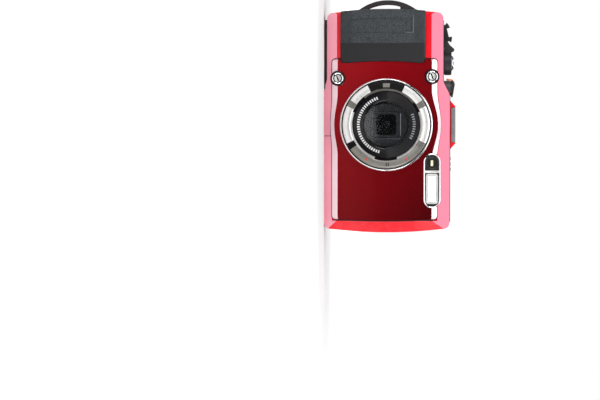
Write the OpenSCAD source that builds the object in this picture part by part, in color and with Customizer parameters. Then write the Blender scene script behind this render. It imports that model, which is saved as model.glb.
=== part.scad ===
// Rugged compact action camera: a folded-lens camera with a removable lens ring, double-locked
// battery door, sealed connector door and glove-sized controls.
// X runs along the body (+X away from the hand grip), the lens faces -Y, and +Z is up.
// The origin is the mouth of the tripod socket in the base.

/* [Body] */
// End of the body at the hand grip
grip_end_x = -54.8; // [-55.6:0.1:-54.6]
// End of the body at the connector door
far_end_x = 56.8; // [56.6:0.1:57.6]
// Height of the top over the lens
main_top = 62.9; // [62.8:0.1:63]
// Height of the lowered top under the shutter button
grip_top = 59.6; // [59.5:0.1:59.7]
// Height of the raised bottom over the battery door
grip_bottom = 1.5; // [1.5:0.1:1.6]
// Thickness of the outer walls
wall = 1.6; // [1.5:0.1:1.7]

/* [Lens] */
// Lens axis, along the body
lens_x = 2.75; // [2:0.25:3.5]
// Lens axis, above the base
lens_z = 31.2; // [31:0.1:31.4]
// Outer radius of the turning lens ring
ring_r = 21.7; // [21.5:0.1:21.75]
// Outer radius of the chrome bezel round the ring
bezel_r = 23.35; // [23.2:0.05:23.4]

/* [Controls] */
// Radius of the mode dial, over its teeth
dial_r = 11; // [10.6:0.1:11]
// Radius of the arrow pad
pad_r = 9.6; // [9:0.1:9.7]
// Radius of the zoom lever's ring
zoom_r = 5.75; // [5.5:0.05:5.8]
// Radius of the tripod socket, at the root of its thread
socket_r = 3.175; // [3.1:0.025:3.2]

/* [Hidden] */
$fn = 48;

// Depths, from the lens (-Y) to the screen (+Y)
ring_front = -17.5;
plate_face = -12.5;
shelf_face = -11;      // the front cover's own flat, round the plate
pocket_floor = -9.5;   // the plate, the grip and the lens bezel sit on this
cavity_front = -8;
bevel_start = -7.5;    // the front cover's sides are straight behind this
parting = 1;           // where the front and rear covers meet
rear_inner = 11;
rear_face = 12.5;
dial_face = 13.7;
bevel_bottom = 6.5;    // how far the front bevels run in from each side
bevel_top = 9.2;
bevel_far = 6.2;

// Outline of the body, seen from the front
mid_z = 31;
bulge = 2.2;           // how far the two ends swell past their corners
corner_r = 3;
top_step = [-20, -11];
bottom_step = [-21, -14];
step_points = 8;
end_points = 6;

// Places of the controls, as [x, z] on the front and rear, and [x, y] on the top
shutter_at = [-28.2, 0];
power_at = [22.5, 1];
release_at = [-20.4, 6.9];
boss_at = [-21.2, 54];
log_at = [-15.5, 1];
dial_at = [-42, 53.6];
pad_at = [-38.5, 25.6];
movie_at = [-25.6, 51];
info_at = [-47.6, 37.6];
wifi_at = [-28.4, 39.6];
menu_at = [-47.6, 11.2];
playback_at = [-29.4, 11.2];
key_r = 2.6;
movie_r = 3;
ok_r = 4;
boss_r = 3.6;
play = 0.2;            // gap round each key
flash_x = [16.9, 44.4];
flash_z = 54;
flash_r = 4.3;

// Screen
glass_lo = [-20.5, 5.5];
glass_hi = [51.5, 57.5];
screen_lo = [-16, 8];
screen_hi = [47, 55];

// Battery compartment, inside faces
bay_lo = [-49.4, -7.1];
bay_hi = [-15.6, 5.2];
bay_wall = 0.6;
bay_foot = 1.7;
bay_roof = 46.9;

// Battery door and its hinge
door_lo = [-49.8, -7.6];
door_hi = [-15.2, 7.1];
door_t = 1.4;
hinge_y = 8.4;
hinge_z = 1;
hinge_r = 0.9;
hinge_x = [-43, -23];

// Connector door and its hinge
port_y = [4.2, 9.8];
port_z = [16, 46];
port_t = 1.4;
port_hinge = [55.4, 2.6];
port_hinge_r = 0.8;
port_hinge_z = [22, 40];
port_swing = 2.15;     // room round the hinge that lets the door swing past the frame

// Zoom mechanism inside the lens housing, as [y, z]
rod_at = [[-4.6, 25.8], [1.2, 37.4]];
rod_r = 0.8;
screw_at = [1, 25.6];
screw_r = 0.9;
housing_lo = [-9, -7.8, 14];
housing_hi = [47, 5, 48];
tunnel_lo = [-5, -6.6, 22];
tunnel_hi = [45.6, 3.4, 41];
tube_r = 15;

// ---------------------------------------------------------------- helpers

function smooth(t) = let (u = max(0, min(1, t))) u * u * (3 - 2 * u);
function along(range, t) = range[0] + (range[1] - range[0]) * t;
function top_z(x) = grip_top + (main_top - grip_top) * smooth((x - top_step[0]) / (top_step[1] - top_step[0]));
function bottom_z(x) = grip_bottom * smooth((bottom_step[1] - x) / (bottom_step[1] - bottom_step[0]));
function swell(z) = bulge * pow((z - mid_z) / mid_z, 2);
function left_x(z) = grip_end_x + swell(z);
function right_x(z) = far_end_x - swell(z);
function arc(x, z, r, from, to, n = 5) =
    [for (k = [0 : n]) let (a = from + (to - from) * k / n) [x + r * cos(a), z + r * sin(a)]];

// The body's outline, moved in by d, anticlockwise from the lower corner at the grip
function outline(d) =
    let (r = corner_r - d,
         left_low = left_x(grip_bottom + corner_r) + corner_r,
         left_high = left_x(grip_top - corner_r) + corner_r,
         right_low = right_x(corner_r) - corner_r,
         right_high = right_x(main_top - corner_r) - corner_r)
    concat(
        arc(left_low, grip_bottom + corner_r, r, 180, 270),
        [for (i = [0 : step_points]) let (x = along(bottom_step, i / step_points)) [x, bottom_z(x) + d]],
        arc(right_low, corner_r, r, 270, 360),
        [for (i = [1 : end_points]) let (z = along([corner_r, main_top - corner_r], i / (end_points + 1)))
            [right_x(z) - d, z]],
        arc(right_high, main_top - corner_r, r, 0, 90),
        [for (i = [step_points : -1 : 0]) let (x = along(top_step, i / step_points)) [x, top_z(x) - d]],
        arc(left_high, grip_top - corner_r, r, 90, 180),
        [for (i = [end_points : -1 : 1]) let (z = along([grip_bottom + corner_r, grip_top - corner_r],
            i / (end_points + 1))) [left_x(z) + d, z]]);

// A rectangle with round corners, as points
function rounded(lo, hi, r) = concat(
    arc(lo[0] + r, lo[1] + r, r, 180, 270), arc(hi[0] - r, lo[1] + r, r, 270, 360),
    arc(hi[0] - r, hi[1] - r, r, 0, 90), arc(lo[0] + r, hi[1] - r, r, 90, 180));

module block(lo, hi) translate(lo) cube(hi - lo);
// An [x, z] shape run along Y, a [y, z] shape along X and an [x, y] shape along Z
module slab(y0, y1) translate([0, y1, 0]) rotate([90, 0, 0]) linear_extrude(y1 - y0) children();
module run(x0, x1) translate([x0, 0, 0]) rotate([90, 0, 90]) linear_extrude(x1 - x0) children();
module rise(z0, z1) translate([0, 0, z0]) linear_extrude(z1 - z0) children();
module rod_y(at, y0, y1, r) translate([at[0], y1, at[1]]) rotate([90, 0, 0]) cylinder(h = y1 - y0, r = r);
module rod_x(at, x0, x1, r) translate([x0, at[0], at[1]]) rotate([0, 90, 0]) cylinder(h = x1 - x0, r = r);
module rod_z(at, z0, z1, r) translate([at[0], at[1], z0]) cylinder(h = z1 - z0, r = r);
module tube_y(at, y0, y1, r_out, r_in) difference() {
    rod_y(at, y0, y1, r_out);
    rod_y(at, y0 - 1, y1 + 1, r_in);
}
module stadium(r) {
    for (x = flash_x) translate([x - sign(x - 30) * flash_r, flash_z]) circle(r);
    translate([flash_x[0] + flash_r, flash_z - r]) square([flash_x[1] - flash_x[0] - 2 * flash_r, 2 * r]);
}
// Turns a profile of [radius, y] points about the lens axis
module lens_turned(profile) translate([lens_x, 0, lens_z]) rotate([90, 0, 0])
    rotate_extrude($fn = 96) polygon([for (p = profile) [p[0], -p[1]]]);
// A sector of a ring about the lens axis, centred on an angle from +X towards +Z
module lens_sector(y0, y1, r_in, r_out, at, spread) translate([lens_x, 0, lens_z]) rotate([90, 0, 0])
    rotate([0, 0, at - spread / 2]) rotate_extrude(angle = spread, $fn = 96)
        translate([r_in, -y1]) square([r_out - r_in, y1 - y0]);

// ---------------------------------------------------------------- front of the body

plate_x = [-30.2, 50.9];
plate_z = [4.06, 56.7];
plate_slope = 2.8;     // how far in its bevel runs
plate_waist = 27.2;    // the plate swells to this radius round the lens
plate_corner = 2;
plate_points = 32;

// Lower or upper edge of the plate at x, moved in by d; side is -1 or 1
function plate_edge(x, d, side) =
    let (edge = side < 0 ? plate_z[0] + d : plate_z[1] - d,
         r = plate_waist - d / 2,
         reach = pow(r, 2) - pow(x - lens_x, 2),
         round_z = reach > 0 ? lens_z + side * sqrt(reach) : lens_z,
         from_end = x - plate_x[0],
         cut = from_end < plate_corner
             ? plate_corner - sqrt(pow(plate_corner, 2) - pow(plate_corner - from_end, 2))
             : 0)
    side < 0 ? min(edge, round_z) + cut : max(edge, round_z) - cut;

function plate_ring(y, d, grow) =
    let (xs = concat([for (i = [0 : 3]) plate_x[0] + plate_corner * i / 4],
                     [for (i = [0 : plate_points])
                         along([plate_x[0] + plate_corner, plate_x[1]], i / plate_points)]))
    concat([for (x = xs)
               [x + (x == plate_x[0] ? -grow : x == plate_x[1] ? grow : 0), y, plate_edge(x, d, -1) - grow]],
           [for (i = [len(xs) - 1 : -1 : 0]) let (x = xs[i])
               [x + (x == plate_x[0] ? -grow : x == plate_x[1] ? grow : 0), y, plate_edge(x, d, 1) + grow]]);

// Skins a stack of rings that each hold a lower chain and then the upper chain back
module skin(rings) {
    n = len(rings[0]);
    last = len(rings) - 1;
    half = n / 2;
    polyhedron(
        points = [for (ring = rings) each ring],
        faces = concat(
            [for (i = [0 : half - 2]) each [[i, i + 1, n - 1 - i], [i + 1, n - 2 - i, n - 1 - i]]],
            [for (i = [0 : half - 2]) let (o = last * n)
                each [[o + i, o + n - 1 - i, o + i + 1], [o + i + 1, o + n - 1 - i, o + n - 2 - i]]],
            [for (k = [0 : last - 1], i = [0 : n - 1]) let (a = k * n + i, b = k * n + (i + 1) % n)
                each [[a, a + n, b], [b, a + n, b + n]]]));
}

grip_x = [-55, -27.8];
grip_z = [8.4, 50.5];
grip_bow = 1.1;        // how far the edge nearest the lens curves away from it

module grip_shape(gap) polygon(concat(
    [for (t = [-1 : 0.125 : 1])
        [grip_x[1] - grip_bow * (1 - t * t) + gap, along(grip_z, (t + 1) / 2) + t * gap]],
    [[-60, grip_z[1] + gap], [-60, grip_z[0] - gap]]));
module grip_space(gap) slab(-20, pocket_floor) grip_shape(gap);

module front_cover() color("crimson") difference() {
    intersection() {
        slab(shelf_face, parting) polygon(outline(0));
        run(-70, 70) polygon([[bevel_start, -1], [bevel_start, 0], [shelf_face, bevel_bottom],
            [shelf_face, main_top - bevel_top], [bevel_start, main_top], [bevel_start, 70], [2, 70], [2, -1]]);
        rise(-1, 70) polygon([[-70, 2], [-70, shelf_face + 1], [grip_end_x + 1, shelf_face + 1],
            [grip_end_x + 2.4, shelf_face], [far_end_x - bevel_far, shelf_face], [far_end_x, bevel_start],
            [70, bevel_start], [70, 2]]);
    }
    // inside
    slab(-6, parting + 1) polygon(outline(wall));
    block([-50, cavity_front, 5], [49, -5, 56]);
    // seats of the plate, the grip, the lens and the flash
    skin([plate_ring(pocket_floor, 0, 0.12), plate_ring(-20, 0, 0.12)]);
    grip_space(0.12);
    rod_y([lens_x, lens_z], -20, 0, bezel_r - 0.75);
    slab(-20, -7) stadium(flash_r - 0.6);
    slab(-20, pocket_floor) stadium(flash_r + 0.12);
    rod_y(release_at, -20, button_floor, boss_r + play);
    rod_y(boss_at, -20, button_floor, boss_r + play);
    lock_arm(0.25, -9.6, -7);
    top_inlay(0.1);
    top_holes();
    base_inlay(0.1);
    base_holes();
    block([bay_lo[0] - bay_wall - 0.1, bay_lo[1] - bay_wall - 0.1, -1], [bay_hi[0] + bay_wall + 0.1, 2, 6]);
}

module front_plate() color("darkred") difference() {
    skin([plate_ring(pocket_floor, 0, 0), plate_ring(-10.1, 0, 0), plate_ring(plate_face, plate_slope, 0)]);
    rod_y([lens_x, lens_z], -20, 0, bezel_r + 0.1);
    grip_space(0.2);
    slab(-20, -7) stadium(flash_r + 0.12);
    rod_y(release_at, -20, 0, boss_r + play);
    rod_y(boss_at, -20, 0, boss_r + play);
}

module grip_panel() color("#3a3d40") intersection() {
    rise(grip_z[0], grip_z[1]) polygon(concat(
        [[grip_x[0], pocket_floor], [grip_x[0], -11.6]],
        [for (a = [15 : 15 : 90]) [grip_x[0] + 2.8 * (1 - cos(a)), -11.6 - 2.8 * sin(a)]],
        [[-46, -14.7], [-39, -14.6], [-37.8, -14.2], [grip_x[1], -12.9], [grip_x[1], pocket_floor]]));
    slab(-20, 0) intersection() {
        grip_shape(0);
        polygon(outline(-0.2));
    }
}

module lens_bezel() color("silver")
    lens_turned([[ring_r + 0.25, pocket_floor], [bezel_r, pocket_floor], [bezel_r, -13.6], [22.9, -14.6],
        [22.3, -14.6], [ring_r + 0.25, -14.1]]);

lug_y = [-13.3, -12.3];
module lens_ring() color("gainsboro") {
    difference() {
        lens_turned([[18.5, -9.7], [21.2, -9.7], [ring_r, -10.2], [ring_r, -16.6], [21.2, -17.2],
            [20.6, ring_front],
            [18.2, ring_front], [16.9, -15.9], [16.9, -15.1], [18.5, -15.1]]);
        // grooves in the front face, and the notch that the ring lock drops into
        for (a = [60, 120, 240, 300]) lens_sector(-18, -17.1, 17.4, 21.1, a, 5);
        lens_sector(-10.4, -9, lock_r - 0.8, lock_r + 0.8, lock_angle, 6);
        // dark mark at the grip side
        lens_sector(-18, -17.2, 18.3, 20.5, 180, 46);
    }
    for (a = [90, 210, 330]) lens_sector(lug_y[0], lug_y[1], 16.95, 18.6, a, 24);
}

module bayonet_seat() color("#202020") {
    difference() {
        lens_turned([[15.2, -9.4], [22.2, -9.4], [22.2, -7.8], [15.2, -7.8]]);
        lock_arm(0.3, -10, -7);
    }
    lens_turned([[15.4, -14.6], [16.7, -14.6], [16.7, -9.4], [15.4, -9.4]]);
    for (a = [90, 210, 330]) lens_sector(-14.6, -13.6, 16.6, 18.1, a, 26);
}

module name_ring() color("#101010")
    lens_turned([[11.7, -13.3], [15.2, -13.3], [15.2, -14.7], [16.6, -14.7], [16.6, -15.7], [11.7, -14]]);

module lens_window() color("lightblue", 0.4)
    rod_y([lens_x, lens_z], -13.3, -12, 11.5);

// The front lens element, and the prism that folds the light along the body
module front_optics() color("lightblue", 0.5) {
    lens_turned(concat([[0, -7.4], [7.5, -7.4]],
        [for (r = [7.5 : -1.5 : 0]) [r, 1.2 - sqrt(144 - r * r)]]));
    rise(25.4, 37) polygon([[-3.4, tunnel_lo[1]], [9, tunnel_lo[1]], [9, 2.7]]);
}

button_floor = -8.6;
lock_r = 19.7;         // the ring lock's tip lies this far from the lens axis
lock_angle = 226.4;
lock_at = [lens_x + lock_r * cos(lock_angle), lens_z + lock_r * sin(lock_angle)];

module knob(at, back) difference() {
    union() {
        rod_y(at, -13.1, back, boss_r);
        rod_y(at, -13.4, -13.1, boss_r - 0.7);
    }
    block([at[0] - 0.35, -14, at[1] - 2.2], [at[0] + 0.35, -13, at[1] + 2.2]);
}

// The arm that runs from the release button to the back of the lens ring
module lock_arm(gap, y0, y1) slab(y0, y1) translate(release_at)
    rotate(atan2(lock_at[1] - release_at[1], lock_at[0] - release_at[0]))
        translate([-gap, -0.9 - gap]) square([norm(lock_at - release_at) + 0.8 + 2 * gap, 1.8 + 2 * gap]);

module front_boss() color("silver") knob(boss_at, button_floor);
module release_button() color("silver") knob(release_at, -9.3);
module ring_lock() color("silver") {
    lock_arm(0, -9.3, -8.7);
    rod_y(lock_at, -9.55, -9.3, 0.6);
}

// ---------------------------------------------------------------- flash

lamp_at = [21.9, 54];
window_x = [28, 41.4];
window_z = [51.7, 56.3];

module flash_bezel() color("silver") difference() {
    slab(-12.9, pocket_floor) stadium(flash_r);
    rod_y(lamp_at, -14, -10.9, 3.05);
    rod_y(lamp_at, -14, -7, 2.2);
    slab(-14, -7) polygon(rounded([window_x[0] - 0.1, window_z[0] - 0.1],
        [window_x[1] + 0.1, window_z[1] + 0.1], 1));
}

module flash_window() color("white")
    slab(-12.8, -11.4) polygon(rounded([window_x[0], window_z[0]], [window_x[1], window_z[1]], 0.9));

module lamp_window() color("#303030") rod_y(lamp_at, -12.7, -10.9, 3);

// Reflector, tube and the small board behind them
module flash_unit() color("whitesmoke") {
    difference() {
        block([window_x[0] + 0.4, -11.4, window_z[0] + 0.4], [window_x[1] - 0.4, -6.4, window_z[1] - 0.4]);
        block([window_x[0] + 1, -12, window_z[0] + 1], [window_x[1] - 1, -7, window_z[1] - 1]);
    }
    rod_x([-8.2, flash_z], window_x[0] + 1, window_x[1] - 1, 0.9);
    block([18, -6.4, 50], [45, -5.6, 55.8]);
}

module flash_capacitor() color("#303050") rod_x([-1.9, 53.2], 19, 44, 3.65);

// ---------------------------------------------------------------- lens block

module lens_housing() color("#282828") {
    difference() {
        union() {
            block(housing_lo, housing_hi);
            rod_y([lens_x, lens_z], -12, -7, tube_r);
            tube_y([lens_x, lens_z], -13.3, -12, tube_r, 11.7);
            block([47, -3.4, 21.2], [49, 5, 30]);
        }
        block(tunnel_lo, tunnel_hi);
        rod_y([lens_x, lens_z], -11.2, -7.4, 7.6);
        rod_y([lens_x, lens_z], -8, -6, 6.4);
        slab(-14, -8) polygon(rounded([lens_x - 5, lens_z - 5], [lens_x + 5, lens_z + 5], 1.4));
        slab(-14, -11.6) polygon(rounded([lens_x - 7, lens_z - 7], [lens_x + 7, lens_z + 7], 2));
        rod_x(screw_at, 40, 50, screw_r + 0.3);
        rod_x(screw_at, 47.2, 50, 2.4);
    }
    for (x = [11, 41]) difference() {
        block([x, tunnel_lo[1], tunnel_lo[2]], [x + 1.4, tunnel_hi[1], tunnel_hi[2]]);
        rod_x([-1.6, lens_z], x - 1, x + 3, 4.2);
        for (at = rod_at) rod_x(at, x - 1, x + 3, rod_r + 0.05);
        rod_x(screw_at, x - 1, x + 3, screw_r + 0.2);
    }
}

module zoom_group() color("#404048") difference() {
    union() {
        block([15, -6.2, 23.4], [20, 3, 39.6]);
        rod_x([-1.6, lens_z], 20, 22, 4.6);
    }
    rod_x([-1.6, lens_z], 14, 23, 3.6);
    for (at = rod_at) rod_x(at, 14, 23, rod_r + 0.05);
    rod_x(screw_at, 14, 23, screw_r + 0.05);
}

module guide_rods() color("silver") for (at = rod_at) rod_x(at, 10, tunnel_hi[0], rod_r);

module lead_screw() color("gold") {
    rod_x(screw_at, 9.8, 47.4, screw_r);
    rod_x(screw_at, 47.4, 48.8, 2);
}

module zoom_motor() color("gray") rod_x(screw_at, 49, 53.4, 4);

module image_sensor() color("darkgreen") {
    block([44.8, -6, 28.4], [tunnel_hi[0], 2.8, 35.6]);
    block([43.6, -4.6, 29], [44.8, 1.4, 33.4]);
}

// ---------------------------------------------------------------- rear of the body

module key_hole(at, r) rod_y(at, 8.9, 14, r + play);

module rear_cover() color("#26282a") {
    difference() {
        intersection() {
            slab(parting, rear_face) polygon(outline(0));
            run(-70, 70) polygon([[0, -1], [10.4, -1], [10.4, 0], [rear_face, 2.2], [rear_face, main_top - 2.2],
                [10.4, main_top], [10.4, 70], [0, 70]]);
            rise(-1, 70) polygon([[-70, 0], [-70, 8.6], [grip_end_x, 8.6], [grip_end_x + 3.6, rear_face],
                [far_end_x - 3, rear_face], [far_end_x, 10.2], [70, 10.2], [70, 0]]);
        }
        difference() {
            slab(parting - 1, rear_inner) intersection() {
                polygon(outline(wall));
                translate([-51.4, 0]) square([105, 70]);
            }
            rod_y(dial_at, 9.2, 12, dial_r + 1.2);
        }
        // screen
        slab(11.5, 14) polygon(rounded(glass_lo - [0.1, 0.1], glass_hi + [0.1, 0.1], 2));
        slab(10, 14) polygon(rounded(screen_lo, screen_hi, 1));
        // controls
        rod_y(dial_at, 10.15, 14, dial_r + 0.4);
        rod_y(dial_at, 9, 14, 1.55);
        key_hole(pad_at, pad_r + 0.1);
        key_hole(movie_at, movie_r);
        for (at = [info_at, wifi_at, menu_at, playback_at]) key_hole(at, key_r);
        top_inlay(0.1);
        top_holes();
        base_inlay(0.1);
        base_holes();
        block([bay_lo[0] - bay_wall - 0.1, 0, -1],
            [bay_hi[0] + bay_wall + 0.1, bay_hi[1] + bay_wall + 0.1, 6]);
        block([door_lo[0] - 0.2, 0, -1], [door_hi[0] + 0.2, door_hi[1] + 0.4, grip_bottom + 0.02]);
        // hinge pockets of the battery door
        for (x = hinge_x) {
            rod_x([hinge_y, hinge_z], x - 3.2, x + 3.2, hinge_r + 0.25);
            block([x - 3.2, 7, 0], [x + 3.2, hinge_y, hinge_z + 0.75]);
            rod_x([hinge_y, hinge_z], x - 4.4, x + 4.4, 0.5);
        }
        // connector door, its frame and its hinge pockets
        block([54, port_y[0] - 0.15, port_z[0] - 0.15], [60, port_y[1] + 0.15, port_z[1] + 0.15]);
        block([53, port_y[0] + 0.2, port_z[0] + 0.3], [54.1, port_y[1], port_z[1] - 0.3]);
        for (z = port_hinge_z) {
            rod_z(port_hinge, z - 3.2, z + 3.2, port_hinge_r + 0.25);
            block([port_hinge[0] - 0.2, port_hinge[1] - 1.05, z - 3.2], [60, port_y[0], z + 3.2]);
            rod_z(port_hinge, z - 4.2, z + 4.2, 0.45);
        }
        // strap lug feet
        for (z = lug_feet) block([-60, lug_depth[0] - 0.1, z[0] - 0.1], [-50, lug_depth[1] + 0.1, z[1] + 0.1]);
    }
    // ears that hold the battery door's pins
    for (x = hinge_x, side = [-1, 1]) difference() {
        block([x + side * 3.9 - 0.6, 7.6, 0.1], [x + side * 3.9 + 0.6, 9.2, grip_bottom + 0.1]);
        rod_x([hinge_y, hinge_z], x - 6, x + 6, 0.5);
    }
}

module lcd_window() color("#101418")
    slab(11.5, 12.45) polygon(rounded(glass_lo, glass_hi, 1.9));

module lcd_panel() color("#202830") block([-17.6, 8.3, 7], [48.4, rear_inner, 56]);

// ---------------------------------------------------------------- top

inlay_t = 0.7;
proud = 0.4;
plate_top_x = [-49.5, 51.5];
plate_top_y = [-5.8, 8.2];
mic_x = [-46, 48];
log_seat = 63.35;      // top of the round seat under the log lever
grille_x = [32.5, 34.5, 36.5, 38.5, 40.5];

function top_band(x0, x1, low, high) =
    let (xs = concat([x0], [for (i = [0 : step_points]) along(top_step, i / step_points)], [x1]))
    concat([for (x = xs) [x, top_z(x) + low]],
        [for (i = [len(xs) - 1 : -1 : 0]) [xs[i], top_z(xs[i]) + high]]);

module top_inlay(gap) slab(plate_top_y[0] - gap, plate_top_y[1] + gap)
    polygon(top_band(plate_top_x[0] - gap, plate_top_x[1] + gap, -inlay_t, 6));

module top_holes() {
    rod_z(shutter_at, 50, 70, 4.75);
    rod_z(power_at, 58, 70, 1.6);
    rod_z(log_at, 50, 70, 1.25);
    for (x = mic_x) rod_z([x, 1], 56, 70, 0.5);
    for (x = grille_x) rod_z([x, 1.2], 58, 70, 0.5);
}

module top_plate() color("#3c3e42") difference() {
    union() {
        slab(plate_top_y[0], plate_top_y[1])
            polygon(top_band(plate_top_x[0], plate_top_x[1], -inlay_t, proud));
        intersection() {
            rod_z(log_at, 58, log_seat, 3.9);
            slab(-9, 9) polygon(top_band(-25, -5, -inlay_t, 6));
        }
    }
    top_holes();
    rod_z(power_at, 58, 70, 3.6);
}

hump_x = [-9.4, 15];
hump_top = 65.9;
insert_x = [-5.9, 11.6];

module gps_hump() color("crimson") difference() {
    slab(-5.7, 7.8) polygon([[hump_x[0], main_top + proud], [insert_x[0] - 0.5, hump_top],
        [insert_x[1] + 0.5, hump_top],
        [hump_x[1], main_top + proud]]);
    block([insert_x[0], -8, 63.8], [insert_x[1], 6.2, 70]);
}

module antenna_cover() color("#8c9094") difference() {
    run(insert_x[0] + 0.1, insert_x[1] - 0.1) polygon([[-6.2, 63.8], [6.1, 63.8], [6.1, 65.4], [5.6, 65.85],
        [-5.4, 65.85], [-6.2, 65.2]]);
    block([insert_x[0] + 3, -3, 65.6], [insert_x[1] - 3, 3.5, 67]);
}

module shutter_button() color("#b8bcc0") {
    rod_z(shutter_at, 62.4, 64.5, 3.7);
    rod_z(shutter_at, 64.5, 65.1, 3.1);
    rod_z(shutter_at, 55.6, 62.4, 1.4);
}

module zoom_lever() color("#2c2e30") difference() {
    union() {
        rod_z(shutter_at, 60.2, 63.9, zoom_r);
        rod_z(shutter_at, 57.4, 60.2, 4.6);
        rod_z(shutter_at, 56.8, 57.4, 5.3);
        slab(-2.4, 2.4) translate([shutter_at[0], 0])
            polygon([[-4.5, 60.6], [-10.4, 60.6], [-11, 62], [-9.2, 63],
            [-7, 65.4], [-6, 65.2], [-5.4, 63.9], [-4.5, 63.9]]);
    }
    rod_z(shutter_at, 61.2, 70, 3.9);
    rod_z(shutter_at, 50, 70, 1.55);
}

module power_button() color("#8c9094") {
    rod_z(power_at, 62.75, 63.75, 3.4);
    rod_z(power_at, 58.6, 62.75, 1.4);
}

module log_lever() color("#1c1c1c") {
    rod_z(log_at, log_seat, 64.3, 3.7);
    slab(log_at[1] - 1.1, log_at[1] + 1.1) translate([log_at[0], 0])
        polygon([[-4.1, 63.8], [-4.1, 61.6], [-4.9, 61.6], [-4.4, 64.5], [-2.9, 65.5], [-2, 65.7],
            [4.4, 64.6], [4.4, 63.8]]);
    rod_z(log_at, 58.6, log_seat, 1.2);
}

module speaker() color("#484848") rod_z([36.5, 1.2], 58, main_top - wall, 3.6);

// ---------------------------------------------------------------- rear controls

dial_gaps = [for (k = [0 : 8]) 63 + 40 * k];

module mode_dial() color("#303234") {
    difference() {
        rod_y(dial_at, 10.3, dial_face, dial_r);
        for (a = dial_gaps) slab(10, 14) translate(dial_at) rotate(a)
            translate([dial_r - 1.9, -2.3]) square([3, 4.6]);
    }
    rod_y(dial_at, 8.9, 10.3, 1.5);
}

// A key with a flange that the rear cover holds in
module key(at, r, face) {
    rod_y(at, 9.9, face, r);
    rod_y(at, 9.9, 10.7, r + 0.5);
}

module movie_button() color("#404244") difference() {
    key(movie_at, movie_r, 12.9);
    rod_y(movie_at, 12.6, 14, 1.2);
}
module info_button() color("#404244") key(info_at, key_r, 12.8);
module wifi_button() color("#404244") key(wifi_at, key_r, 12.8);
module menu_button() color("#404244") key(menu_at, key_r, 12.8);
module playback_button() color("#404244") key(playback_at, key_r, 12.8);
module ok_button() color("#505254") rod_y(pad_at, 9.9, 12.9, ok_r);

module arrow_pad() color("#303234") {
    difference() {
        tube_y(pad_at, 11.3, 13, pad_r, ok_r + 0.3);
        tube_y(pad_at, 12.7, 14, 8.2, 5.6);
    }
    for (at = pad_feet) rod_y(at, 9.6, 11.3, 0.8);
    pad_ears(90, 9.8, 11.3);
}

gimbal_y = 10.3;
gimbal_r = 6.2;
pin_r = 0.35;
pad_feet = [for (a = [0 : 90 : 270]) pad_at + 8.4 * [cos(a), sin(a)]];

// The gimbal ring has a pin on each side: the key board holds one pair and the arrow pad the other
module pad_gimbal() color("#686a6c") {
    tube_y(pad_at, gimbal_y - pin_r, gimbal_y + pin_r, gimbal_r, gimbal_r - 1.4);
    translate([pad_at[0], 0, pad_at[1]]) for (turn = [0, 90], side = [-1, 1]) rotate([0, turn, 0])
        rod_x([gimbal_y, 0], side * 6.65 - 0.65, side * 6.65 + 0.65, pin_r);
}

module pad_ears(turn, y0, y1) translate([pad_at[0], 0, pad_at[1]]) rotate([0, turn, 0])
    for (side = [-1, 1]) difference() {
        block([side * 6.9 - 0.5, y0, -0.8], [side * 6.9 + 0.5, y1, 0.8]);
        rod_x([gimbal_y, 0], -9, 9, pin_r + 0.05);
    }

module key_board() color("darkgreen") {
    difference() {
        slab(8, 8.8) polygon([[-50.6, 6], [-22.5, 6], [-22.5, 56], [-46, 56], [-50.6, 50]]);
        for (z = [9, 50]) rod_y([-44, z], 7, 10, 0.9);
    }
    for (at = [info_at, wifi_at, menu_at, playback_at, movie_at, pad_at]) rod_y(at, 8.8, 9.25, 1.6);
    for (at = pad_feet) rod_y(at, 8.8, 9.2, 1.3);
    pad_ears(0, 8.8, 10.95);
    for (at = [[-47, 16.5], [-25.5, 30], [-32, 44]]) rod_y(at, 7.4, 8, 1.5);
}

// ---------------------------------------------------------------- bottom

base_x = [-12, 53];
base_y = [-6.6, 9];
base_t = 1.1;

module base_inlay(gap)
    block([base_x[0] - gap, base_y[0] - gap, -1], [base_x[1] + gap, base_y[1] + gap, base_t]);

base_screws = [[17, -4.6], [17, 7], [48, -4.6], [48, 7]];

module base_holes() {
    rod_z([0, 0], -1, 3, socket_r + 1.1);
    for (at = base_screws) rod_z(at, -1, 3, 0.75);
}

module base_plate() color("#232426") difference() {
    block([base_x[0], base_y[0], 0], [base_x[1], base_y[1], base_t]);
    rod_z([0, 0], -1, 3, socket_r + 2.4);
    for (at = base_screws) rod_z(at, -1, 3, 1.2);
}

module tripod_socket() color("silver") difference() {
    union() {
        rod_z([0, 0], 0, base_t, socket_r + 2.3);
        rod_z([0, 0], base_t, wall, socket_r + 1);
        rod_z([0, 0], wall, 8, socket_r + 2);
    }
    rod_z([0, 0], -1, 6.4, socket_r);
}

module battery_door() color("#1e1f20") {
    difference() {
        rise(0, door_t) polygon(rounded(door_lo, door_hi, 1.2));
        block([-41, -6.8, -1], [-31, -3.4, 1]);
        block([-27, -6.8, -1], [-20, -3.4, 1]);
    }
    for (x = hinge_x) {
        block([x - 2.9, door_hi[1] - 0.5, 0.6], [x + 2.9, hinge_y, 1.4]);
        rod_x([hinge_y, hinge_z], x - 2.9, x + 2.9, hinge_r);
        rod_x([hinge_y, hinge_z], x - 4.2, x + 4.2, 0.4);
    }
}

module battery_door_seal() color("#b03020") difference() {
    rise(door_t, 4.4) polygon(rounded([bay_lo[0] + 0.5, bay_lo[1] + 0.5],
        [bay_hi[0] - 0.5, bay_hi[1] - 0.5], 1));
    rise(2.4, 5) polygon(rounded([bay_lo[0] + 2.5, bay_lo[1] + 2.5],
        [bay_hi[0] - 2.5, bay_hi[1] - 2.5], 1));
}

module slider(x0, x1) difference() {
    block([x0, -6.6, 0.15], [x1, -3.6, 0.95]);
    for (x = [x0 + 0.8 : 1 : x1 - 0.8]) block([x - 0.2, -7, 0], [x + 0.2, -3, 0.5]);
}

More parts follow.
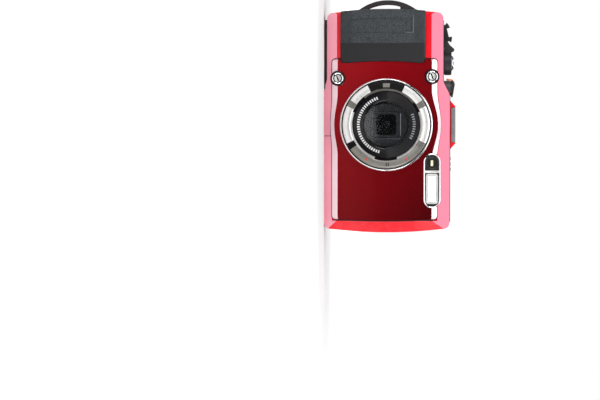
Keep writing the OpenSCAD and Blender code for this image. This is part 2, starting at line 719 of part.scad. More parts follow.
module battery_latch() color("#606468") slider(-40.8, -35);
module battery_lock() color("#c8a020") slider(-26.8, -23.4);

// ---------------------------------------------------------------- connector door

module end_shell(inner) difference() {
    slab(parting, 11) polygon(outline(0));
    translate([-inner, 0, 0]) slab(parting - 1, 12) polygon(outline(0));
}

module connector_door() color("#1e1f20") {
    difference() {
        intersection() {
            end_shell(port_t);
            block([50, port_y[0], port_z[0]], [60, port_y[1], port_z[1]]);
        }
        block([56, 7.4, 27], [60, 9.2, 35]);
        rod_z(port_hinge, port_z[0] - 1, port_z[1] + 1, port_swing);
    }
    for (z = port_hinge_z) {
        block([port_hinge[0] - 0.1, port_hinge[1], z - 2.9],
            [port_hinge[0] + 0.5, port_y[0] + 0.9, z + 2.9]);
        rod_z(port_hinge, z - 2.9, z + 2.9, port_hinge_r);
        rod_z(port_hinge, z - 4, z + 4, 0.35);
    }
}

module connector_latch() color("#606468") difference() {
    block([56.05, 7.6, 27.2], [56.6, 9, 32.4]);
    for (z = [28.2 : 1 : 31.6]) block([56.35, 7, z - 0.2], [57, 10, z + 0.2]);
}

module connector_seal() color("#b03020") intersection() {
    difference() {
        block([53.6, port_y[0] + 0.3, port_z[0] + 0.4], [60, port_y[1] - 0.3, port_z[1] - 0.4]);
        block([50, port_y[0] + 1.3, port_z[0] + 1.6], [54.4, port_y[1] - 1.3, port_z[1] - 1.6]);
        rod_z(port_hinge, port_z[0] - 1, port_z[1] + 1, port_swing);
    }
    translate([-port_t, 0, 0]) slab(0, 12) polygon(outline(0));
}

module connectors() color("silver") for (z = [[19.5, 27], [34, 42]]) difference() {
    block([48.9, 5.3, z[0]], [53.2, 8.2, z[1]]);
    block([50, 5.9, z[0] + 0.8], [54, 7.6, z[1] - 0.8]);
}

// ---------------------------------------------------------------- inside

module battery() color("#c0c4c8") block([-48.9, bay_lo[1], 5.4], [-16.1, 2, bay_roof]);

module memory_card() color("#2040a0") block([-42, 3.1, 8], [-18, bay_hi[1], 40]);

module chassis() color("#a0a4a8") {
    difference() {
        block([bay_lo[0] - bay_wall, bay_lo[1] - bay_wall, bay_foot],
            [bay_hi[0] + bay_wall, bay_hi[1] + bay_wall, bay_roof + bay_wall]);
        block([bay_lo[0], bay_lo[1], 0], [bay_hi[0], bay_hi[1], bay_roof]);
    }
    block([bay_lo[0] - 0.1, 2.2, 8], [bay_hi[0] + 0.1, 2.8, bay_roof + 0.1]);
    difference() {
        block([bay_hi[0] + bay_wall, 5, 8], [51, bay_hi[1] + bay_wall, 55]);
        for (x = [20, 34]) rod_y([x, lens_z], 4, 7, 5);
        block([46.5, 4, 16], [60, 7, 46]);
    }
    for (at = [[-46, 11], [-20, 44], [49, 11], [49, 52]]) rod_y(at, 5.7, 6.4, 1.5);
}

module main_board() color("darkgreen") {
    difference() {
        block([-50, 6.4, 7], [52, 7.4, 56]);
        block([48.6, 6, 17], [60, 8, 45]);
    }
    for (chip = [[-8, 20, 12], [10, 34, 10], [26, 14, 8], [30, 40, 7], [-10, 42, 6]])
        translate([chip[0], 7.4, chip[1]]) cube([chip[2], 0.7, chip[2]]);
}

// ---------------------------------------------------------------- strap lug and screws

lug_depth = [3, 7];
lug_mid_z = 31.85;
lug_r = 24.2;
lug_reach = -60.2;
lug_bar = 2.3;
lug_feet = [[16.9, 21.9], [38.2, 46.8]];

module strap_lug() color("#18191a") {
    slab(lug_depth[0], lug_depth[1]) difference() {
        intersection() {
            translate([lug_reach + lug_r, lug_mid_z]) circle(lug_r, $fn = 96);
            translate([-61, lug_feet[0][0]]) square([6.8, lug_feet[1][1] - lug_feet[0][0]]);
        }
        translate([-54.9, 20]) square([5, 20]);
        intersection() {
            translate([lug_reach + lug_r, lug_mid_z]) circle(lug_r - lug_bar, $fn = 96);
            translate([-61, lug_feet[0][1]]) square([12, lug_feet[1][0] - lug_feet[0][1]]);
        }
    }
    for (z = lug_feet) block([-55.5, lug_depth[0], z[0]], [-51.2, lug_depth[1], z[1]]);
}

module case_screws() color("silver") for (at = base_screws) difference() {
    union() {
        rod_z(at, 0.2, base_t, 1.1);
        rod_z(at, base_t, 3.4, 0.7);
    }
    block([at[0] - 0.75, at[1] - 0.15, 0], [at[0] + 0.75, at[1] + 0.15, 0.6]);
}

// ---------------------------------------------------------------- assembly

front_cover();
front_plate();
grip_panel();
rear_cover();
top_plate();
base_plate();
gps_hump();
antenna_cover();
lens_bezel();
lens_ring();
bayonet_seat();
name_ring();
lens_window();
front_optics();
lens_housing();
zoom_group();
guide_rods();
lead_screw();
zoom_motor();
image_sensor();
release_button();
ring_lock();
front_boss();
flash_bezel();
flash_window();
lamp_window();
flash_unit();
flash_capacitor();
shutter_button();
zoom_lever();
power_button();
log_lever();
mode_dial();
movie_button();
arrow_pad();
pad_gimbal();
ok_button();
menu_button();
playback_button();
info_button();
wifi_button();
lcd_window();
lcd_panel();
battery_door();
battery_door_seal();
battery_latch();
battery_lock();
connector_door();
connector_seal();
connector_latch();
connectors();
battery();
chassis();
memory_card();
main_board();
key_board();
speaker();
tripod_socket();
strap_lug();
case_screws();
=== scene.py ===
import math
import bpy
import bmesh
from mathutils import Matrix, Vector


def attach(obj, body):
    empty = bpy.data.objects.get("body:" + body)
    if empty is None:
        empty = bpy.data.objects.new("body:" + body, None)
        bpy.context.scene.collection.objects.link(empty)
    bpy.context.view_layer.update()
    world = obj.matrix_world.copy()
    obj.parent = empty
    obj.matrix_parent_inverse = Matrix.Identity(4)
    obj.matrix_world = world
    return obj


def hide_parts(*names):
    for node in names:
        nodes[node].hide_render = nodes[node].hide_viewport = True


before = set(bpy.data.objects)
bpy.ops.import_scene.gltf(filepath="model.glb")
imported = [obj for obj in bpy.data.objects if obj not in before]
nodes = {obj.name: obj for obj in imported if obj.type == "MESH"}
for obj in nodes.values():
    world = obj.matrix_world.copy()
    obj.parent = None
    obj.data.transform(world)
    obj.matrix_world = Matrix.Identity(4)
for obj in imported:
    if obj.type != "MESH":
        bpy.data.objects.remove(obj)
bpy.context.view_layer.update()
MM = 0.001
TAU = 2 * math.pi
LENS = (2.75, 31.2)

# ------------------------------------------------------------------ materials


class Graph:
    """A material's node tree, built from short calls that return sockets."""

    def __init__(self, name):
        self.mat = bpy.data.materials.new(name)
        self.mat.use_nodes = True
        self.tree = self.mat.node_tree
        self.bsdf = self.tree.nodes["Principled BSDF"]
        self.spot = self.new("ShaderNodeTexCoord").outputs["Object"]

    def new(self, kind, **settings):
        node = self.tree.nodes.new(kind)
        for key, value in settings.items():
            setattr(node, key, value)
        return node

    def plug(self, socket, value):
        if isinstance(value, bpy.types.NodeSocket):
            self.tree.links.new(value, socket)
        elif value is not None:
            socket.default_value = value

    def math(self, how, a, b=0.0, c=0.0, clamp=False):
        node = self.new("ShaderNodeMath", operation=how, use_clamp=clamp)
        for socket, value in zip(node.inputs, (a, b, c)):
            self.plug(socket, value)
        return node.outputs[0]

    def noise(self, scale, detail=3.0, rough=0.55, stretch=None):
        node = self.new("ShaderNodeTexNoise")
        at = self.spot
        if stretch:
            mapping = self.new("ShaderNodeMapping")
            self.plug(mapping.inputs["Vector"], at)
            mapping.inputs["Scale"].default_value = stretch
            at = mapping.outputs[0]
        self.plug(node.inputs["Vector"], at)
        node.inputs["Scale"].default_value = scale
        node.inputs["Detail"].default_value = detail
        node.inputs["Roughness"].default_value = rough
        return node.outputs["Fac"]

    def cells(self, scale, feature="F1"):
        node = self.new("ShaderNodeTexVoronoi", feature=feature)
        self.plug(node.inputs["Vector"], self.spot)
        node.inputs["Scale"].default_value = scale
        return node.outputs["Distance"]

    def remap(self, value, low, high, to_low, to_high):
        node = self.new("ShaderNodeMapRange")
        self.plug(node.inputs["Value"], value)
        for key, number in (("From Min", low), ("From Max", high), ("To Min", to_low), ("To Max", to_high)):
            node.inputs[key].default_value = number
        return node.outputs[0]

    def mix(self, factor, a, b):
        node = self.new("ShaderNodeMix", data_type="RGBA")
        self.plug(node.inputs["Factor"], factor)
        for key, value in (("A", a), ("B", b)):
            socket = [s for s in node.inputs if s.name == key and s.type == "RGBA"][0]
            self.plug(socket, (*value, 1.0) if isinstance(value, tuple) else value)
        return [s for s in node.outputs if s.type == "RGBA"][0]

    def axis(self, letter):
        """One coordinate, in millimetres."""
        node = self.new("ShaderNodeSeparateXYZ")
        self.plug(node.inputs[0], self.spot)
        return self.math("MULTIPLY", node.outputs[letter], 1000.0)

    def inside(self, value, low, high, soft=0.15):
        """1 between low and high, falling to 0 over a soft edge."""
        up = self.remap(value, low - soft, low + soft, 0.0, 1.0)
        down = self.remap(value, high - soft, high + soft, 1.0, 0.0)
        return self.math("MULTIPLY", up, down)

    def bump(self, height, strength, depth_mm):
        node = self.new("ShaderNodeBump")
        node.inputs["Strength"].default_value = strength
        node.inputs["Distance"].default_value = depth_mm * MM
        self.plug(node.inputs["Height"], height)
        self.plug(self.bsdf.inputs["Normal"], node.outputs[0])

    def edges(self, low=0.53, high=0.60):
        """1 on worn outer edges, broken up by noise."""
        point = self.new("ShaderNodeNewGeometry").outputs["Pointiness"]
        sharp = self.remap(point, low, high, 0.0, 1.0)
        return self.math("MULTIPLY", sharp, self.remap(self.noise(350.0), 0.35, 0.65, 0.2, 1.0), clamp=True)


def tint(color, share):
    return tuple(min(1.0, c * share) for c in color)


def finish(name, color, rough, metal=0.0, coat=0.0, coat_rough=0.04, coat_ior=1.5, spec=0.5, vary=0.08,
           rough_vary=0.06, scale=90.0, grain=0.0, grain_scale=2200.0, grain_mm=0.03, wear=0.0,
           wear_color=None,
           brushed=None, anisotropic=0.0):
    """A painted, moulded or metal surface with colour and roughness variation, grain and edge wear."""
    g = Graph(name)
    shade = g.mix(g.remap(g.noise(scale), 0.3, 0.7, 0.0, 1.0), tint(color, 1 - vary), tint(color, 1 + vary))
    if wear:
        shade = g.mix(g.math("MULTIPLY", g.edges(), wear), shade, wear_color or tint(color, 2.2))
    g.plug(g.bsdf.inputs["Base Color"], shade)
    fine = g.noise(scale * 9, 4.0, stretch=brushed) if brushed else g.noise(scale * 6, 4.0)
    g.plug(g.bsdf.inputs["Roughness"], g.remap(fine, 0.25, 0.75, max(0.02, rough - rough_vary),
                                               rough + rough_vary))
    for key, value in (("Metallic", metal), ("Specular IOR Level", spec), ("Coat Weight", coat),
                       ("Coat Roughness", coat_rough), ("Coat IOR", coat_ior), ("Anisotropic", anisotropic)):
        g.bsdf.inputs[key].default_value = value
    if grain:
        g.bump(g.noise(grain_scale, 2.0), grain, grain_mm)
    if anisotropic:
        tangent = g.new("ShaderNodeTangent", direction_type="RADIAL", axis="Y")
        g.plug(g.bsdf.inputs["Tangent"], tangent.outputs[0])
    return g


RED = (0.90, 0.004, 0.018)
M = {}


def paint():
    M["body_red"] = finish("body_red", RED, 0.34, metal=0.1, coat=0.35, coat_rough=0.06, coat_ior=1.4,
                           spec=0.2,
                           vary=0.03, rough_vary=0.05, scale=60.0, grain=0.05, grain_scale=3500.0,
                           grain_mm=0.01,
                           wear=0.2, wear_color=(1.0, 0.12, 0.12))
    # the long facets get a lighter paint of their own: painted highlight standing for the lamps' reflection,
    # so they stay light from every side
    M["red_facet_painted_highlight"] = finish("red_facet_painted_highlight", (1.0, 0.20, 0.29), 0.32, metal=0.8, coat=0.4, coat_rough=0.1,
                            vary=0.03,
                            rough_vary=0.03, scale=50.0)
    # the lower facets get a paler copy: painted highlight, as they face away from the lamps
    M["red_facet_low_painted_highlight"] = finish("red_facet_low_painted_highlight", (1.0, 0.40, 0.50), 0.4, metal=0.1, coat=0.4, coat_rough=0.1,
                                vary=0.03, rough_vary=0.03, scale=50.0)
    # the plate's long bevels are painted pale pink: painted highlight standing for the lamps' reflection
    M["plate_facet_painted_highlight"] = finish("plate_facet_painted_highlight", (1.0, 0.80, 0.85), 0.42, metal=0.3, coat=0.3, coat_rough=0.3,
                              vary=0.03,
                              rough_vary=0.03, scale=50.0)
    g = finish("plate_red", (0.16, 0.001, 0.004), 0.3, metal=0.6, coat=0.12, coat_rough=0.03, coat_ior=1.35,
               spec=0.1, vary=0.03, rough_vary=0.03, scale=60.0)
    # painted reflection: the lacquer is painted lighter near the grip and darker towards the far lower corner
    painted_reflection_gradient = g.math("ADD", g.remap(g.axis("X"), -30.0, 50.0, 0.0, 0.55),
                   g.remap(g.axis("Z"), 57.0, 4.0, 0.5, 0.0))
    shade = g.mix(painted_reflection_gradient, (0.38, 0.003, 0.008), (0.075, 0.0003, 0.002))
    flake = g.mix(g.remap(g.noise(2600.0, 1.0), 0.35, 0.65, 0.0, 0.05), shade, (0.5, 0.01, 0.02))
    g.plug(g.bsdf.inputs["Base Color"], flake)
    M["plate_red"] = g

    g = finish("grip_rubber", (0.034, 0.039, 0.045), 0.62, spec=0.35, vary=0.2, scale=300.0, wear=0.3)
    x, z = g.axis("X"), g.axis("Z")
    grained = g.math("MULTIPLY", g.inside(x, -56.0, -38.0), g.inside(z, 13.8, 45.0, 0.3))
    speck = g.remap(g.cells(1500.0), 0.1, 0.55, 1.0, 0.0)
    base = g.mix(g.remap(g.noise(500.0), 0.3, 0.7, 0.0, 1.0), (0.024, 0.029, 0.032), (0.036, 0.043, 0.048))
    smooth_side = g.mix(g.inside(x, -38.0, -20.0), base, (0.014, 0.014, 0.016))
    dotted = g.mix(g.math("MULTIPLY", grained, speck), smooth_side, (0.075, 0.085, 0.095))
    g.plug(g.bsdf.inputs["Base Color"], g.mix(g.math("MULTIPLY", g.edges(), 0.35), dotted,
                                              (0.10, 0.11, 0.12)))
    g.bump(g.math("MULTIPLY", speck, grained), 0.7, 0.09)
    M["grip_rubber"] = g

    for name, color, rough in (("rear_black", (0.018, 0.019, 0.021), 0.5),
                               ("top_grey", (0.075, 0.08, 0.088), 0.45),
                               ("control_black", (0.022, 0.023, 0.026), 0.42),
                               ("movie_key", (0.03, 0.03, 0.034), 0.4),
                               ("antenna_grey", (0.16, 0.17, 0.18), 0.4),
                               ("latch_grey", (0.22, 0.23, 0.24), 0.45),
                               ("inner_plastic", (0.22, 0.22, 0.23), 0.5),
                               ("lens_black", (0.010, 0.010, 0.011), 0.38)):
        g = finish(name, color, rough, spec=0.4, vary=0.12, scale=150.0, wear=0.35)
        g.bump(g.math("ADD", g.cells(1900.0), g.noise(3800.0, 2.0)), 0.35 if name == "rear_black" else 0.18,
               0.03)
        M[name] = g
    M["lock_yellow"] = finish("lock_yellow", (0.72, 0.42, 0.02), 0.4, vary=0.06, grain=0.2, wear=0.3)
    M["index_orange"] = finish("index_orange", (0.95, 0.22, 0.01), 0.4, vary=0.05, grain=0.15, wear=0.2)
    M["mark_grey"] = finish("mark_grey", (0.42, 0.43, 0.44), 0.5, vary=0.1, scale=900.0, grain=0.1)
    M["mark_white"] = finish("mark_white", (0.80, 0.80, 0.80), 0.5, vary=0.06, scale=900.0, grain=0.1)
    M["mark_shade"] = finish("mark_shade", (0.25, 0.26, 0.28), 0.5, vary=0.1, scale=900.0, grain=0.1)
    M["mark_dim"] = finish("mark_dim", (0.11, 0.12, 0.13), 0.5, vary=0.1, scale=900.0, grain=0.2)
    M["seam_dark"] = finish("seam_dark", (0.045, 0.002, 0.004), 0.5, vary=0.1, scale=200.0, grain=0.1)
    M["deep_black"] = finish("deep_black", (0.004, 0.004, 0.005), 0.24, coat=0.15, coat_rough=0.08,
                             spec=0.2, vary=0.1,
                             rough_vary=0.04, scale=200.0, grain=0.05)
    M["mark_red"] = finish("mark_red", (0.75, 0.02, 0.015), 0.4, vary=0.06, grain=0.1)
    M["seal_red"] = finish("seal_red", (0.42, 0.035, 0.02), 0.6, vary=0.12, grain=0.3, wear=0.2)
    M["bright_metal"] = finish("bright_metal", (0.88, 0.88, 0.89), 0.12, metal=1.0, vary=0.03,
                               rough_vary=0.05,
                               scale=200.0, grain=0.04, grain_mm=0.01, wear=0.3,
                               wear_color=(0.97, 0.97, 0.97))
    # the grey is a darker copy of the silver: painted reflection for the dull sectors of the turned ring
    for name, color, rough, metal in (("ring_silver", (0.84, 0.84, 0.82), 0.3, 0.55),
                                      ("ring_grey", (0.25, 0.24, 0.215), 0.3, 0.5)):
        g = finish(name, color, rough, metal=metal, vary=0.04, rough_vary=0.04, scale=120.0, anisotropic=0.6)
        # fine turned lines about the lens axis
        dx = g.math("SUBTRACT", g.axis("X"), LENS[0])
        dz = g.math("SUBTRACT", g.axis("Z"), LENS[1])
        radius = g.math("SQRT", g.math("ADD", g.math("MULTIPLY", dx, dx), g.math("MULTIPLY", dz, dz)))
        lines = g.new("ShaderNodeTexNoise", noise_dimensions="1D")
        g.plug(lines.inputs["W"], radius)
        lines.inputs["Scale"].default_value = 14.0
        g.bump(lines.outputs["Fac"], 0.05, 0.02)
        M[name] = g
    # painted reflection and painted shade: black for the ring's dark sector at 12, a notch and the faces
    # further back
    M["ring_black_painted_reflection_shade"] = finish("ring_black_painted_reflection_shade", (0.004, 0.004, 0.004), 0.5, spec=0.15, vary=0.1, scale=300.0,
                             grain=0.05)
    M["control_silver"] = finish("control_silver", (0.62, 0.63, 0.65), 0.22, metal=1.0, vary=0.05,
                                 scale=200.0,
                                 grain=0.05, wear=0.3, wear_color=(0.9, 0.9, 0.9))
    M["steel"] = finish("steel", (0.55, 0.55, 0.57), 0.3, metal=1.0, vary=0.08, scale=160.0, grain=0.08,
                        brushed=(1.0, 1.0, 12.0), wear=0.3, wear_color=(0.85, 0.85, 0.86))
    M["reflector"] = finish("reflector", (0.85, 0.85, 0.86), 0.16, metal=1.0, vary=0.03, grain=0.05)
    M["brass"] = finish("brass", (0.72, 0.5, 0.18), 0.28, metal=1.0, vary=0.06, grain=0.06)
    M["capacitor_sleeve"] = finish("capacitor_sleeve", (0.02, 0.025, 0.08), 0.3, vary=0.1, grain=0.1)
    M["screen_glass"] = finish("screen_glass", (0.006, 0.007, 0.008), 0.08, spec=0.4, vary=0.1,
                               rough_vary=0.03)
    g = M["screen_glass"]
    shown = g.math("MULTIPLY", g.inside(g.axis("X"), -15.6, 46.6), g.inside(g.axis("Z"), 8.4, 54.6))
    g.plug(g.bsdf.inputs["Base Color"], g.mix(shown, (0.003, 0.003, 0.004), (0.008, 0.009, 0.011)))
    M["display"] = finish("display", (0.02, 0.024, 0.028), 0.2, vary=0.1, grain=0.1)
    M["board_green"] = finish("board_green", (0.012, 0.10, 0.045), 0.4, vary=0.2, scale=400.0, grain=0.3,
                              wear=0.2)
    M["battery_wrap"] = finish("battery_wrap", (0.5, 0.51, 0.53), 0.3, vary=0.06, grain=0.1, wear=0.2)
    M["card_blue"] = finish("card_blue", (0.02, 0.06, 0.3), 0.4, vary=0.06, grain=0.2)
    g = finish("flash_diffuser", (0.96, 0.97, 0.97), 0.18, coat=0.6, vary=0.04, scale=300.0)
    ribs = g.math("SINE", g.math("MULTIPLY", g.axis("X"), TAU / 0.8))
    g.bump(ribs, 0.4, 0.06)
    M["flash_diffuser"] = g
    M["lamp_cream"] = finish("lamp_cream", (0.92, 0.84, 0.55), 0.35, vary=0.06, scale=500.0, grain=0.1)
    g = finish("optical_glass", (0.9, 0.93, 0.95), 0.03, vary=0.02, rough_vary=0.02)
    g.bsdf.inputs["Transmission Weight"].default_value = 1.0
    g.bsdf.inputs["IOR"].default_value = 1.5
    M["optical_glass"] = g
    M["lens_mask"] = finish("lens_mask", (0.034, 0.034, 0.039), 0.45, spec=0.3, vary=0.05, rough_vary=0.03,
                            scale=60.0)
    M["lens_frame"] = finish("lens_frame", (0.05, 0.05, 0.056), 0.45, spec=0.3, vary=0.05, rough_vary=0.03,
                             scale=60.0)
    M["lens_void"] = finish("lens_void", (0.002, 0.002, 0.002), 0.7, spec=0.05, vary=0.1, scale=60.0)
    M["lens_coating"] = finish("lens_coating", (0.003, 0.003, 0.005), 0.05, spec=0.12, vary=0.1,
                               rough_vary=0.01, scale=400.0)


def floor_material():
    g = Graph("floor_pale")
    g.plug(g.bsdf.inputs["Base Color"], g.mix(g.noise(6.0), (0.92, 0.92, 0.92), (0.94, 0.94, 0.94)))
    g.plug(g.bsdf.inputs["Roughness"], g.remap(g.noise(40.0), 0.3, 0.7, 0.75, 0.85))
    g.bsdf.inputs["Specular IOR Level"].default_value = 0.1
    # the floor turns into the white background away from the object
    away = g.new("ShaderNodeVectorMath", operation="LENGTH")
    g.plug(away.inputs[0], g.spot)
    g.bsdf.inputs["Emission Color"].default_value = (1, 1, 1, 1)
    g.plug(g.bsdf.inputs["Emission Strength"], g.remap(away.outputs["Value"], 0.10, 0.45, 0.0, 1.0))
    return g.mat


# ------------------------------------------------------------------ mesh building


def raw(name, verts, faces):
    """A mesh object from points in millimetres, with merged points and outward normals."""
    mesh = bpy.data.meshes.new(name)
    mesh.from_pydata([tuple(c * MM for c in v) for v in verts], [], faces)
    bm = bmesh.new()
    bm.from_mesh(mesh)
    bmesh.ops.remove_doubles(bm, verts=bm.verts, dist=1e-7)
    bmesh.ops.recalc_face_normals(bm, faces=bm.faces)
    bm.to_mesh(mesh)
    bm.free()
    obj = bpy.data.objects.new(name, mesh)
    bpy.context.scene.collection.objects.link(obj)
    return obj


def soften(obj, angle=32):
    """Smooth shading, with edges over the angle kept sharp."""
    mesh = obj.data
    bm = bmesh.new()
    bm.from_mesh(mesh)
    limit = math.radians(angle)
    for face in bm.faces:
        face.smooth = True
    for edge in bm.edges:
        edge.smooth = len(edge.link_faces) == 2 and edge.calc_face_angle(4.0) < limit
    bm.to_mesh(mesh)
    bm.free()
    return obj


def piece(obj, material, body, stands_for=(), angle=32, bevel=0.0):
    obj.data.materials.clear()
    obj.data.materials.append(M[material].mat)
    soften(obj, angle)
    if bevel:
        bevelled(obj, bevel)
    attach(obj, body)
    if stands_for:
        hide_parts(*stands_for)
    return obj


def bevelled(obj, width, angle=32, segments=2):
    mod = obj.modifiers.new("edge", "BEVEL")
    mod.width = width * MM
    mod.segments = segments
    mod.limit_method = "ANGLE"
    mod.angle_limit = math.radians(angle)
    mod.harden_normals = True
    mod.miter_outer = "MITER_ARC"


def patch(obj, choose, *materials):
    """More materials on a mesh: choose gives each face's index from its centre and normal, in millimetres."""
    for name in materials:
        obj.data.materials.append(M[name].mat)
    for face in obj.data.polygons:
        face.material_index = choose(Vector(face.center) / MM, face.normal)


def lens_polar(c):
    """Distance from the lens axis, and the hour of a clock whose 12 is at the grip."""
    r = math.hypot(c.x - LENS[0], c.z - LENS[1])
    return r, ((180 - math.degrees(math.atan2(c.z - LENS[1], c.x - LENS[0]))) / 30) % 12


def strip(rings, close=True, wrap=True):
    """Faces that join rings of equal length; close adds a face on each end."""
    n = len(rings[0])
    verts = [p for ring in rings for p in ring]
    faces = []
    for k in range(len(rings) - 1):
        for i in range(n if wrap else n - 1):
            j = (i + 1) % n
            faces.append((k * n + i, k * n + j, (k + 1) * n + j, (k + 1) * n + i))
    if close:
        faces.append(tuple(range(n)))
        faces.append(tuple(reversed(range((len(rings) - 1) * n, len(rings) * n))))
    return verts, faces


def turned(name, profile, centre=LENS, axis="y", steps=128, start=0.0, closed=True):
    """A closed profile of (radius, height) points turned about an axis through centre."""
    rings = []
    for i in range(steps):
        a = start + TAU * i / steps
        c, s = math.cos(a), math.sin(a)
        if axis == "y":
            rings.append([(centre[0] + r * c, h, centre[1] + r * s) for r, h in profile])
        else:
            rings.append([(centre[0] + r * c, centre[1] + r * s, h) for r, h in profile])
    n = len(profile)
    verts = [p for ring in rings for p in ring]
    faces = []
    for k in range(steps):
        m = (k + 1) % steps
        for i in range(n if closed else n - 1):
            j = (i + 1) % n
            quad = [k * n + i, k * n + j, m * n + j, m * n + i]
            faces.append(tuple(quad))
    obj = raw(name, verts, faces)
    drop_slivers(obj)
    return obj


def drop_slivers(obj):
    bm = bmesh.new()
    bm.from_mesh(obj.data)
    bad = [f for f in bm.faces if f.calc_area() < 1e-13]
    bmesh.ops.delete(bm, geom=bad, context="FACES_ONLY")
    bmesh.ops.remove_doubles(bm, verts=bm.verts, dist=1e-7)
    bmesh.ops.recalc_face_normals(bm, faces=bm.faces)
    bm.to_mesh(obj.data)
    bm.free()


def prism(name, points, low, high, plane="xz", edge=0.0):
    """A 2D outline run between two heights, with an optional chamfer at the outer (high) end."""
    def place(p, h):
        return {"xz": (p[0], h, p[1]), "xy": (p[0], p[1], h), "yz": (h, p[0], p[1])}[plane]
    rings = [[place(p, low) for p in points]]
    if edge:
        cx = sum(p[0] for p in points) / len(points)
        cz = sum(p[1] for p in points) / len(points)
        side = 1 if high > low else -1
        rings.append([place(p, high - side * edge) for p in points])
        shrunk = []
        for p in points:
            d = math.hypot(p[0] - cx, p[1] - cz) or 1.0
            shrunk.append((p[0] - edge * (p[0] - cx) / d, p[1] - edge * (p[1] - cz) / d))
        rings.append([place(p, high) for p in shrunk])
    else:
        rings.append([place(p, high) for p in points])
    return raw(name, *strip(rings))


def circle(x, z, r, steps=48, start=0.0, sweep=TAU):
    ends = 0 if abs(sweep - TAU) < 1e-6 else 1
    return [(x + r * math.cos(start + sweep * i / steps), z + r * math.sin(start + sweep * i / steps))
            for i in range(steps + ends)]


def rounded(x0, z0, x1, z1, r, steps=8):
    points = []
    for cx, cz, a in ((x1 - r, z1 - r, 0), (x0 + r, z1 - r, 90), (x0 + r, z0 + r, 180),
                      (x1 - r, z0 + r, 270)):
        points += circle(cx, cz, r, steps, math.radians(a), math.radians(90))
    return points


def stadium(inset, steps=24):
    x0, x1, r = 16.9 + 4.3, 44.4 - 4.3, 4.3 - inset
    return circle(x1, 54, r, steps, -TAU / 4, TAU / 2) + circle(x0, 54, r, steps, TAU / 4, TAU / 2)


def cut(obj, cutters, merge=False):
    """Cutters taken out of the mesh and removed; merge joins the flat faces that are left in pieces."""
    for cutter in cutters:
        mod = obj.modifiers.new("cut", "BOOLEAN")
        mod.operation = "DIFFERENCE"
        mod.solver = "MANIFOLD"
        mod.object = cutter
    bpy.context.view_layer.update()
    done = bpy.data.meshes.new_from_object(obj.evaluated_get(bpy.context.evaluated_depsgraph_get()))
    obj.modifiers.clear()
    bm = bmesh.new()
    bm.from_mesh(done)
    bmesh.ops.remove_doubles(bm, verts=bm.verts, dist=0.004 * MM)
    bmesh.ops.dissolve_degenerate(bm, edges=bm.edges, dist=0.004 * MM)
    if merge:
        bmesh.ops.dissolve_limit(bm, angle_limit=math.radians(0.4), verts=bm.verts, edges=bm.edges)
    bm.to_mesh(done)
    bm.free()
    obj.data = done
    for cutter in cutters:
        bpy.data.objects.remove(cutter)
    return obj


def joined(name, parts):
    """One object out of several simple ones."""
    bm = bmesh.new()
    for part in parts:
        bm.from_mesh(part.data)
        bpy.data.objects.remove(part)
    mesh = bpy.data.meshes.new(name)
    bm.to_mesh(mesh)
    bm.free()
    obj = bpy.data.objects.new(name, mesh)
    bpy.context.scene.collection.objects.link(obj)
    return obj


def brick(name, lo, hi, edge=0.1):
    """A small block with chamfered edges."""
    bm = bmesh.new()
    bmesh.ops.create_cube(bm, size=1.0)
    for v in bm.verts:
        v.co = Vector([(lo[k] + hi[k]) / 2 + v.co[k] * (hi[k] - lo[k]) for k in range(3)]) * MM
    bmesh.ops.bevel(bm, geom=list(bm.edges), offset=edge * MM, segments=2, profile=0.5, affect="EDGES")
    mesh = bpy.data.meshes.new(name)
    bm.to_mesh(mesh)
    bm.free()
    obj = bpy.data.objects.new(name, mesh)
    bpy.context.scene.collection.objects.link(obj)
    return obj


def clock(hour):
    """Angle about the lens axis of an hour on a clock whose 12 is at the grip."""
    return math.radians(180 - 30 * hour)


# ------------------------------------------------------------------ CAD nodes that stay


def dress(name, material, width=0.2, angle=32, segments=2):
    """Material, smooth shading and softened edges on a CAD node, whose mesh points stay as they are."""
    obj = nodes[name]
    mesh = obj.data
    for attribute in [a.name for a in mesh.attributes if a.name == "custom_normal"]:
        mesh.attributes.remove(mesh.attributes[attribute])
    mesh.materials.clear()
    mesh.materials.append(M[material].mat)
    mesh.polygons.foreach_set("use_smooth", [True] * len(mesh.polygons))
    weld = obj.modifiers.new("weld", "WELD")
    weld.merge_threshold = 0.002 * MM
    flat = obj.modifiers.new("flat", "DECIMATE")
    flat.decimate_type = "DISSOLVE"
    flat.angle_limit = math.radians(0.6)
    if width:
        bevelled(obj, width, angle, segments)
    return obj


# ------------------------------------------------------------------ front of the body


def facets():
    """The long front facets of the shell get lighter paints of their own: painted highlight, a paler one on
    the lower facets.
    """
    shell = nodes["front_cover"].data
    shell.materials.append(M["red_facet_painted_highlight"].mat)
    shell.materials.append(M["red_facet_low_painted_highlight"].mat)
    for face in shell.polygons:
        n = face.normal
        long_facet = n.y < -0.2 and abs(n.z) > 0.25 and abs(n.x) < 0.2 and face.center.y < -7.4 * MM
        face.material_index = (1 if n.z > 0 else 2) if long_facet else 0
    nodes["front_cover"].modifiers["flat"].delimit = {"MATERIAL"}


def smooth_min(a, b, k):
    h = max(k - abs(a - b), 0.0) / k
    return min(a, b) - h * h * k / 4


def plate_field(x, z, d):
    """Signed distance to the plate's outline, moved in by d."""
    r = 2.0 - 0.5 * d
    end = 50.9 - 0.8 * ((z - 30.4) / 26.3) ** 2 - min(d, 0.35)
    qx = max(-30.2 + min(d, 0.35) + r - x, x - (end - r))
    qz = max(4.06 + d + r - z, z - (56.7 - d - r))
    box = math.hypot(max(qx, 0), max(qz, 0)) + min(max(qx, qz), 0) - r
    waist = math.hypot(x - LENS[0], z - LENS[1]) - (27.2 - d / 2)
    return smooth_min(box, waist, 3.0)


